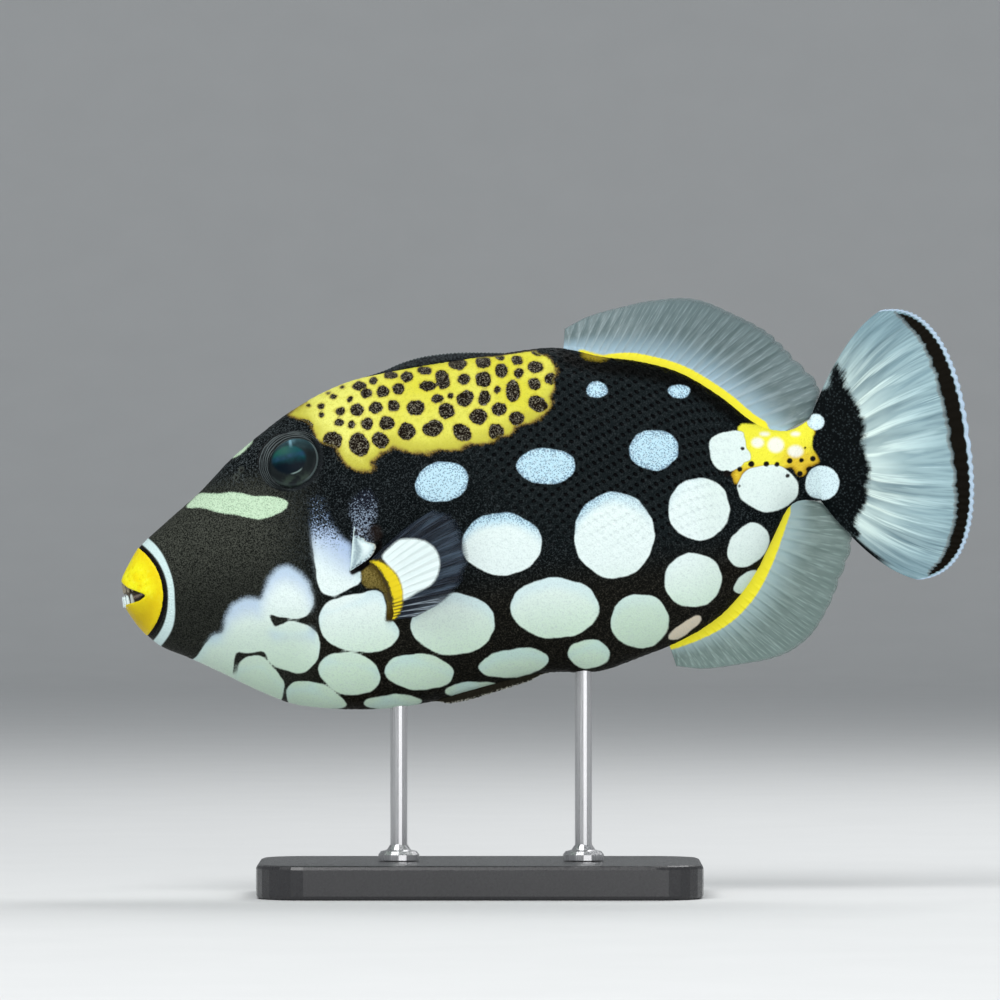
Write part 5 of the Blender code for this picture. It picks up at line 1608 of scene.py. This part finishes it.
def make_gums():
    """The ridge of the lower jaw behind its teeth, round to the corners of the mouth."""
    turn = np.linspace(-1.0, 1.0, GUM_RINGS)[:, None] * math.pi / 2
    angle = np.linspace(0.0, 2 * math.pi, GUM_SIDES, endpoint=False)[None, :]
    back = 1 - np.cos(turn)
    size = GUM_RADIUS - 0.25 * back
    x = GUM_FRONT[0] + GUM_LENGTH * back + size * np.cos(angle) * np.cos(turn)
    y = GUM_HALF_SPAN * np.sin(turn) - size * np.cos(angle) * np.sin(turn)
    z = GUM_FRONT[1] + 1.5 * back + size * np.sin(angle)
    grid = np.stack([x, y, z], axis=-1)
    gums = add_piece("gums", *capped_tube(grid))
    outward(gums)
    inner = prism("mouth_lining", MOUTH_LINING, MOUTH_LINING_HALF)
    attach(inner, "root")
    for thing, name, dark, light, rough in (
        (gums, "gum_look", (0.26, 0.20, 0.17), (0.44, 0.36, 0.32), 0.4),
        (inner, "mouth_lining_look", (0.060, 0.046, 0.034), (0.14, 0.115, 0.090), 0.5),
    ):
        looks = Looks(name)
        fine = looks.grain(0.7, 2.0)
        relief = looks.bump(fine, 0.2, 0.1)
        colour = looks.blend(fine, dark, light)
        thing.data.materials.append(looks.finish(Base_Color=colour, Roughness=rough, Normal=relief))
    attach(gums, "root")


def make_eye(name, side):
    """An eye ball: domed pupil in a dark iris."""
    centre, along, outwards, upwards = eye_frame(side)
    tilt = np.linspace(0.0, math.pi, EYE_RINGS)[:, None]
    angle = np.linspace(0.0, 2 * math.pi, EYE_TURNS, endpoint=False)[None, :]
    across = np.sin(tilt) * np.cos(angle)
    above = np.sin(tilt) * np.sin(angle)
    reach = np.cos(tilt) + 0 * angle
    ball = (
        centre
        + (across * EYE_SIZE[0])[..., None] * along
        + (above * EYE_SIZE[2])[..., None] * upwards
        + (reach * EYE_SIZE[1])[..., None] * outwards
    )
    pupil_x = (across * EYE_SIZE[0] - PUPIL_AT[0]) / PUPIL_SIZE[0]
    pupil_z = (above * EYE_SIZE[2] - PUPIL_AT[1]) / PUPIL_SIZE[1]
    pupil = np.hypot(pupil_x, pupil_z)
    radius = np.hypot(across, above) * EYE_SIZE[0]
    fields = {
        "pupil": np.where(reach > 0, pupil, NOT_HERE),
        "radius": np.where(reach > 0, radius, NOT_HERE),
        "up": above * EYE_SIZE[2],
        "along": across * EYE_SIZE[0],
    }
    dent = np.where(reach > 0, 0.35 * fade(pupil, 1.0, 1.5) * (1 - fade(radius, 6.6, 7.6)), 0.0)
    ball = ball - outwards * dent[..., None]
    faces = grid_faces(EYE_RINGS, EYE_TURNS, True).tolist()
    eye = add_piece(f"eye_ball_{name}", ball.reshape(-1, 3), faces, fields)
    outward(eye, 0.01 * MM)
    eye.data.materials.append(eye_material(name))
    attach(eye, "root")
    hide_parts(f"eye_{name}")
    make_lid(name, side)


def eye_material(name):
    """Dark iris round a deep pupil, with a painted teal and blue sheen and a painted highlight above,
    and a painted highlight along the rim.
    """
    looks = Looks(f"eye_look_{name}")
    fine = looks.grain(0.6, 3.0, 0.6)
    mottle = looks.grain(2.2, 2.0)
    pupil = looks.field("pupil")
    radius = looks.field("radius")
    up = looks.field("up")
    along = looks.field("along")
    iris = looks.blend(mottle, (0.004, 0.006, 0.007), (0.014, 0.019, 0.020))
    # Teal towards the top of the iris: painted reflection of light from above.
    upper = looks.scaled(mottle, 3.0, looks.less(up, 1.5))
    high = looks.step(upper, 0.5, 5.5)
    iris = looks.blend(looks.times(high, 0.8), iris, (0.020, 0.050, 0.058))
    low = looks.times(looks.step(up, -3.5, -6.5), looks.step(mottle, 0.40, 0.65))
    iris = looks.blend(looks.times(low, 0.55), iris, (0.040, 0.062, 0.046))
    # The pupil teal towards its top: painted reflection of light from above.
    deep = looks.blend(looks.step(upper, -2.6, 1.8), (0.0006, 0.0045, 0.009), (0.003, 0.055, 0.062))
    # Green and blue patches in the top of the pupil: painted sheen.
    green = looks.times(looks.step(up, 0.0, 2.2), looks.step(along, 1.0, -1.6))
    deep = looks.blend(looks.times(green, 0.7), deep, (0.008, 0.075, 0.050))
    blue = looks.step(looks.size(looks.scaled(along, -0.10, looks.less(up, 0.4))), 1.3, 0.2)
    blue = looks.times(blue, looks.step(mottle, 0.3, 0.65, 0.25, 0.75))
    deep = looks.blend(blue, deep, (0.014, 0.044, 0.092))
    colour = looks.blend(looks.step(looks.scaled(mottle, 0.12, pupil), 1.24, 0.98), iris, deep)
    # A painted highlight along the rim, strongest towards the rear.
    rim = looks.step(looks.away(radius, 7.75), 0.45, 0.08)
    side = looks.step(along, 1.0, 6.0, 0.10, 0.62)
    colour = looks.blend(looks.times(rim, side), colour, (0.15, 0.20, 0.20))
    arc = looks.step(looks.away(pupil, 1.06), 0.07, 0.02)
    arc = looks.times(arc, looks.step(looks.away(along, 1.2), 2.1, 0.9))
    arc = looks.times(arc, looks.step(up, -2.0, -3.5))
    colour = looks.blend(looks.times(arc, 0.55), colour, (0.26, 0.36, 0.34))
    # A soft glow on the top of the ball: painted highlight.
    glow = looks.times(looks.step(looks.away(along, 0.5), 0.75, 0.1), looks.step(up, 2.4, 5.0))
    wide = looks.times(looks.step(looks.away(along, 0.8), 4.4, 0.6), looks.step(upper, 3.6, 6.4))
    glow = looks.most(glow, looks.times(wide, 0.45))
    colour = looks.blend(looks.times(glow, 0.8), colour, (0.17, 0.33, 0.40))
    relief = looks.bump(fine, 0.10, 0.1)
    return looks.finish(Base_Color=colour, Roughness=0.38, Normal=relief, Specular_IOR_Level=0.07)


def make_lid(name, side):
    """The wrinkled ring of skin round an eye."""
    centre, along, outwards, upwards = eye_frame(side)
    share = np.linspace(0.0, 1.0, LID_RINGS)[:, None]
    angle = np.linspace(0.0, 2 * math.pi, LID_TURNS, endpoint=False)[None, :]
    top = 0.5 - 0.5 * np.cos(angle + LID_TURN)
    outer = LID_OUTER + 0.25 * top
    inner = LID_INNER - LID_DROOP * top ** 2
    radius = outer + (inner - outer) * share
    stretch = EYE_SIZE[2] / EYE_SIZE[0]
    a = radius * np.cos(angle)
    b = radius * stretch * np.sin(angle)
    plane = centre + outwards * EYE_SUNK + a[..., None] * along + b[..., None] * upwards
    skin_y = side * flank(plane[..., 0], plane[..., 2])
    base = plane.copy()
    base[..., 1] = skin_y
    gap = (base - plane) @ outwards
    ball = EYE_SIZE[1] * np.sqrt(np.clip(1 - (radius / EYE_SIZE[0]) ** 2, 0.0, 1.0)) - EYE_SUNK
    crest = np.sin(math.pi * share ** 0.8) ** 0.8 * (0.40 + 0.75 * top)
    level = gap * (1 - fade(share, 0.1, 0.7)) + crest + fade(share, 0.5, 1.0) * (ball + 0.15)
    wrinkles = LID_FOLD * np.sin(2 * math.pi * (share * 5.2 + 0.35 * np.sin(angle * 2 + 1.0)))
    cover = np.where(radius < EYE_SIZE[0] - 0.1, ball + 0.2 + 0.4 * np.sin(math.pi * share), -9.0)
    level = np.maximum(level, cover) + wrinkles * np.sin(math.pi * share)
    level = level - 0.8 * (1 - fade(share, 0.0, 0.12)) - 0.5 * fade(share, 0.93, 1.0)
    ring = plane + level[..., None] * outwards
    back = plane - outwards * LID_DEPTH + (ring - plane) * 0.15
    grid = np.concatenate([ring, back[::-1]], axis=0)
    total = grid.shape[0]
    faces = grid_faces(total, LID_TURNS, True).tolist()
    last = (total - 1) * LID_TURNS
    for turn in range(LID_TURNS):
        after = (turn + 1) % LID_TURNS
        faces.append([last + turn, last + after, after, turn])
    lit = 0.35 + 0.65 * fade(top, 0.15, 0.6) + 0 * share
    fields = {
        "share": np.concatenate([share + 0 * angle, share[::-1] + 0 * angle], axis=0),
        "lit": np.concatenate([lit, lit[::-1]], axis=0),
    }
    lid = add_piece(f"eye_ring_{name}", grid.reshape(-1, 3), faces, fields)
    outward(lid)
    looks = Looks(f"eye_ring_look_{name}")
    fine = looks.grain(0.5, 3.0)
    winding = looks.scaled(looks.grain(2.5, 2.0), 4.0, looks.times(looks.field("share"), 38.0))
    folds = looks.step(looks.sum("SINE", winding), -1.0, 1.0)
    colour = looks.blend(folds, (0.002, 0.003, 0.0035), (0.014, 0.019, 0.021))
    raised = looks.times(looks.field("lit"), looks.step(folds, 0.35, 1.0, 0.05, 1.0))
    colour = looks.blend(raised, colour, (0.085, 0.104, 0.106))
    colour = looks.blend(looks.step(looks.field("share"), 0.10, 0.0), colour, (0.003, 0.003, 0.0035))
    colour = looks.blend(looks.times(looks.step(fine, 0.45, 0.7), 0.2), colour, (0.07, 0.08, 0.08))
    relief = looks.bump(fine, 0.3, 0.15)
    relief = looks.bump(folds, 0.8, 0.3, relief)
    lid.data.materials.append(
        looks.finish(Base_Color=colour, Roughness=0.42, Normal=relief, Specular_IOR_Level=0.08))
    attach(lid, "root")


def make_gill_flap(name, side):
    """The thin pale flap over a gill slit."""
    u, v = unit_grid(FLAP_ROWS, FLAP_ROWS)
    front = np.stack([smooth(FLAP_FRONT_X, v), smooth(FLAP_FRONT_Z, v)], axis=-1)
    rear = np.stack([smooth(FLAP_REAR_X, v), smooth(FLAP_REAR_Z, v)], axis=-1)
    flat = front + (rear - front) * u[..., None]
    bulge = np.sin(math.pi * u) * np.sin(math.pi * v)
    x, z = flat[..., 0], flat[..., 1]
    folds = FLAP_FOLD * np.sin(2 * math.pi * (1.6 * u + 0.7 * v)) * v
    lift = flank(x, z) + 0.10 + 1.0 * v * u + 0.45 * bulge + folds - 0.7 * (1 - fade(v, 0.0, 0.35))
    half = 0.16 + 0.16 * (1 - fade(u, 0.0, 0.2)) + 0.1 * fade(v, 0.3, 0.0)
    middle = np.stack([x, side * lift, z], axis=-1)
    place = marking_place(middle)
    fields = {
        "front": u + 0 * v,
        "down": v + 0 * u,
        "pale": inside_curve(place, FLAP_PALE),
    }
    flap = plate_piece(f"gill_cover_{name}", middle, side * half[..., None] * ACROSS, fields)
    looks = Looks(f"gill_cover_look_{name}")
    fine = looks.grain(0.6, 3.0)
    pale_part = looks.scaled(fine, 9.0, looks.less(looks.field("pale"), 4.5))
    grainy = looks.blend(looks.step(fine, 0.44, 0.60), STREAK_DARK, STREAK_LIGHT)
    skin = looks.blend(looks.step(fine, 0.25, 0.75), (0.34, 0.45, 0.49), (0.52, 0.66, 0.67))
    along, below = looks.field("front"), looks.field("down")
    # A grey band across the flap: painted shade.
    shade_band = looks.step(looks.away(along, 0.27), 0.20, 0.02, 0.0, 0.45)
    skin = looks.blend(shade_band, skin, (0.13, 0.18, 0.22))
    # Whiter where the flap bulges: painted light.
    lit_lobe = looks.step(looks.away(along, 0.62), 0.28, 0.05)
    lit_lobe = looks.times(lit_lobe, looks.step(looks.away(below, 0.60), 0.26, 0.05))
    skin = looks.blend(looks.times(lit_lobe, 0.8), skin, (0.76, 0.88, 0.88))
    skin = looks.blend(looks.step(along, 0.88, 0.99, 0.0, 0.5), skin, (0.34, 0.25, 0.10))
    body = looks.blend(looks.step(pale_part, -2.0, 2.5), grainy, skin)
    bright = looks.most(looks.step(along, 0.13, 0.03), looks.step(below, 0.93, 0.99))
    colour = looks.blend(looks.times(bright, 0.75), body, (0.66, 0.82, 0.80))
    relief = looks.bump(fine, 0.25, 0.15)
    flap.data.materials.append(
        looks.finish(Base_Color=colour, Roughness=0.42, Normal=relief, Specular_IOR_Level=0.2))
    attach(flap, "root")
    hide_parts(f"gill_flap_{name}")


# Stand, floor, light and camera

def dress_stand():
    """Finish of the stand's own solids."""
    looks = Looks("stand_base_look")
    fine = looks.grain(1.5, 4.0, 0.6)
    broad = looks.grain(30.0, 2.0)
    colour = looks.blend(broad, (0.016, 0.016, 0.018), (0.026, 0.026, 0.028))
    rough = looks.step(fine, 0.3, 0.7, 0.22, 0.34)
    base = looks.finish(Base_Color=colour, Roughness=rough, Normal=looks.bump(fine, 0.05, 0.05))
    looks = Looks("stand_rod_look")
    lines = looks.grain(0.4, 3.0, 0.6, (1.0, 1.0, 0.02))
    colour = looks.blend(lines, (0.46, 0.46, 0.47), (0.66, 0.66, 0.67))
    rough = looks.step(lines, 0.3, 0.7, 0.24, 0.40)
    relief = looks.bump(lines, 0.1, 0.05)
    rod = looks.finish(Base_Color=colour, Roughness=rough, Metallic=1.0, Normal=relief)
    for node, material in (("stand_base", base), ("stand_rod_front", rod), ("stand_rod_rear", rod)):
        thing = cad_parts[node]
        for slot in thing.material_slots:
            slot.material = material


FLOOR_FRONT = -3.2  # metres, as all of the floor and the lights
FLOOR_BEND = 2.7
FLOOR_RADIUS = 1.2
FLOOR_STEPS = 24
WALL_HEIGHT = 4.2
FLOOR_HALF = 5.0


def make_floor():
    """A pale floor that curves up into a wall behind the fish."""
    profile = [(FLOOR_FRONT, 0.0), (FLOOR_BEND, 0.0)]
    for step in range(1, FLOOR_STEPS + 1):
        angle = math.pi / 2 * step / FLOOR_STEPS
        y = FLOOR_BEND + FLOOR_RADIUS * math.sin(angle)
        profile.append((y, FLOOR_RADIUS * (1 - math.cos(angle))))
    profile.append((FLOOR_BEND + FLOOR_RADIUS, WALL_HEIGHT))
    points, faces = [], []
    for y, z in profile:
        points += [(-FLOOR_HALF, y, z), (FLOOR_HALF, y, z)]
    for step in range(len(profile) - 1):
        faces.append([2 * step, 2 * step + 1, 2 * step + 3, 2 * step + 2])
    mesh = bpy.data.meshes.new("floor")
    mesh.from_pydata(points, [], faces)
    mesh.shade_smooth()
    floor = link("floor", mesh)
    looks = Looks("floor_look")
    fine = looks.grain(40.0, 3.0)
    colour = looks.blend(fine, (0.64, 0.65, 0.65), (0.68, 0.69, 0.69))
    floor.data.materials.append(looks.finish(Base_Color=colour, Roughness=0.75))


LIT_POINT = (0.0, 0.0, 0.1)
LIGHTS = [  # place, side and power in watts
    ("key", (-0.45, -1.0, 1.4), 1.0, 21.0),
    ("fill", (0.5, -1.7, 0.10), 1.6, 20.0),
    ("rim", (0.5, 0.7, 1.1), 0.7, 9.0),
]
SKY = (0.86, 0.90, 0.94, 1.0)
SKY_STRENGTH = 0.40


def make_lights():
    """Soft studio light: a broad key from above and in front, a fill and a rim."""
    for name, place, size, power in LIGHTS:
        data = bpy.data.lights.new(name, "AREA")
        data.shape = "SQUARE"
        data.size = size
        data.energy = power
        light = link(name, data)
        light.location = place
        light.rotation_euler = (Vector(LIT_POINT) - Vector(place)).to_track_quat("-Z", "Y").to_euler()
    world = bpy.data.worlds.new("studio")
    world.use_nodes = True
    background = world.node_tree.nodes["Background"]
    background.inputs["Color"].default_value = SKY
    background.inputs["Strength"].default_value = SKY_STRENGTH
    scene = bpy.context.scene
    scene.world = world
    scene.view_settings.view_transform = "Standard"


def make_camera():
    """A long lens, level with the fish, framed as the photograph is."""
    data = bpy.data.cameras.new("camera")
    data.sensor_width = SENSOR
    data.lens = SENSOR * CAMERA_DISTANCE / (IMAGE_SIDE * PIXEL)
    data.clip_end = 100.0
    camera = link("camera", data)
    camera.location = Vector(CAMERA_AT) * MM
    camera.rotation_euler = (math.pi / 2, 0.0, 0.0)
    bpy.context.scene.camera = camera


make_camera()
make_skin()
make_median_fins()
make_caudal()
for side_name, side_sign in SIDES.items():
    make_pectoral(side_name, side_sign)
    make_eye(side_name, side_sign)
    make_gill_flap(side_name, side_sign)
make_pelvic_flap()
make_first_dorsal()
make_lips()
make_teeth()
dress_stand()
make_floor()
make_lights()
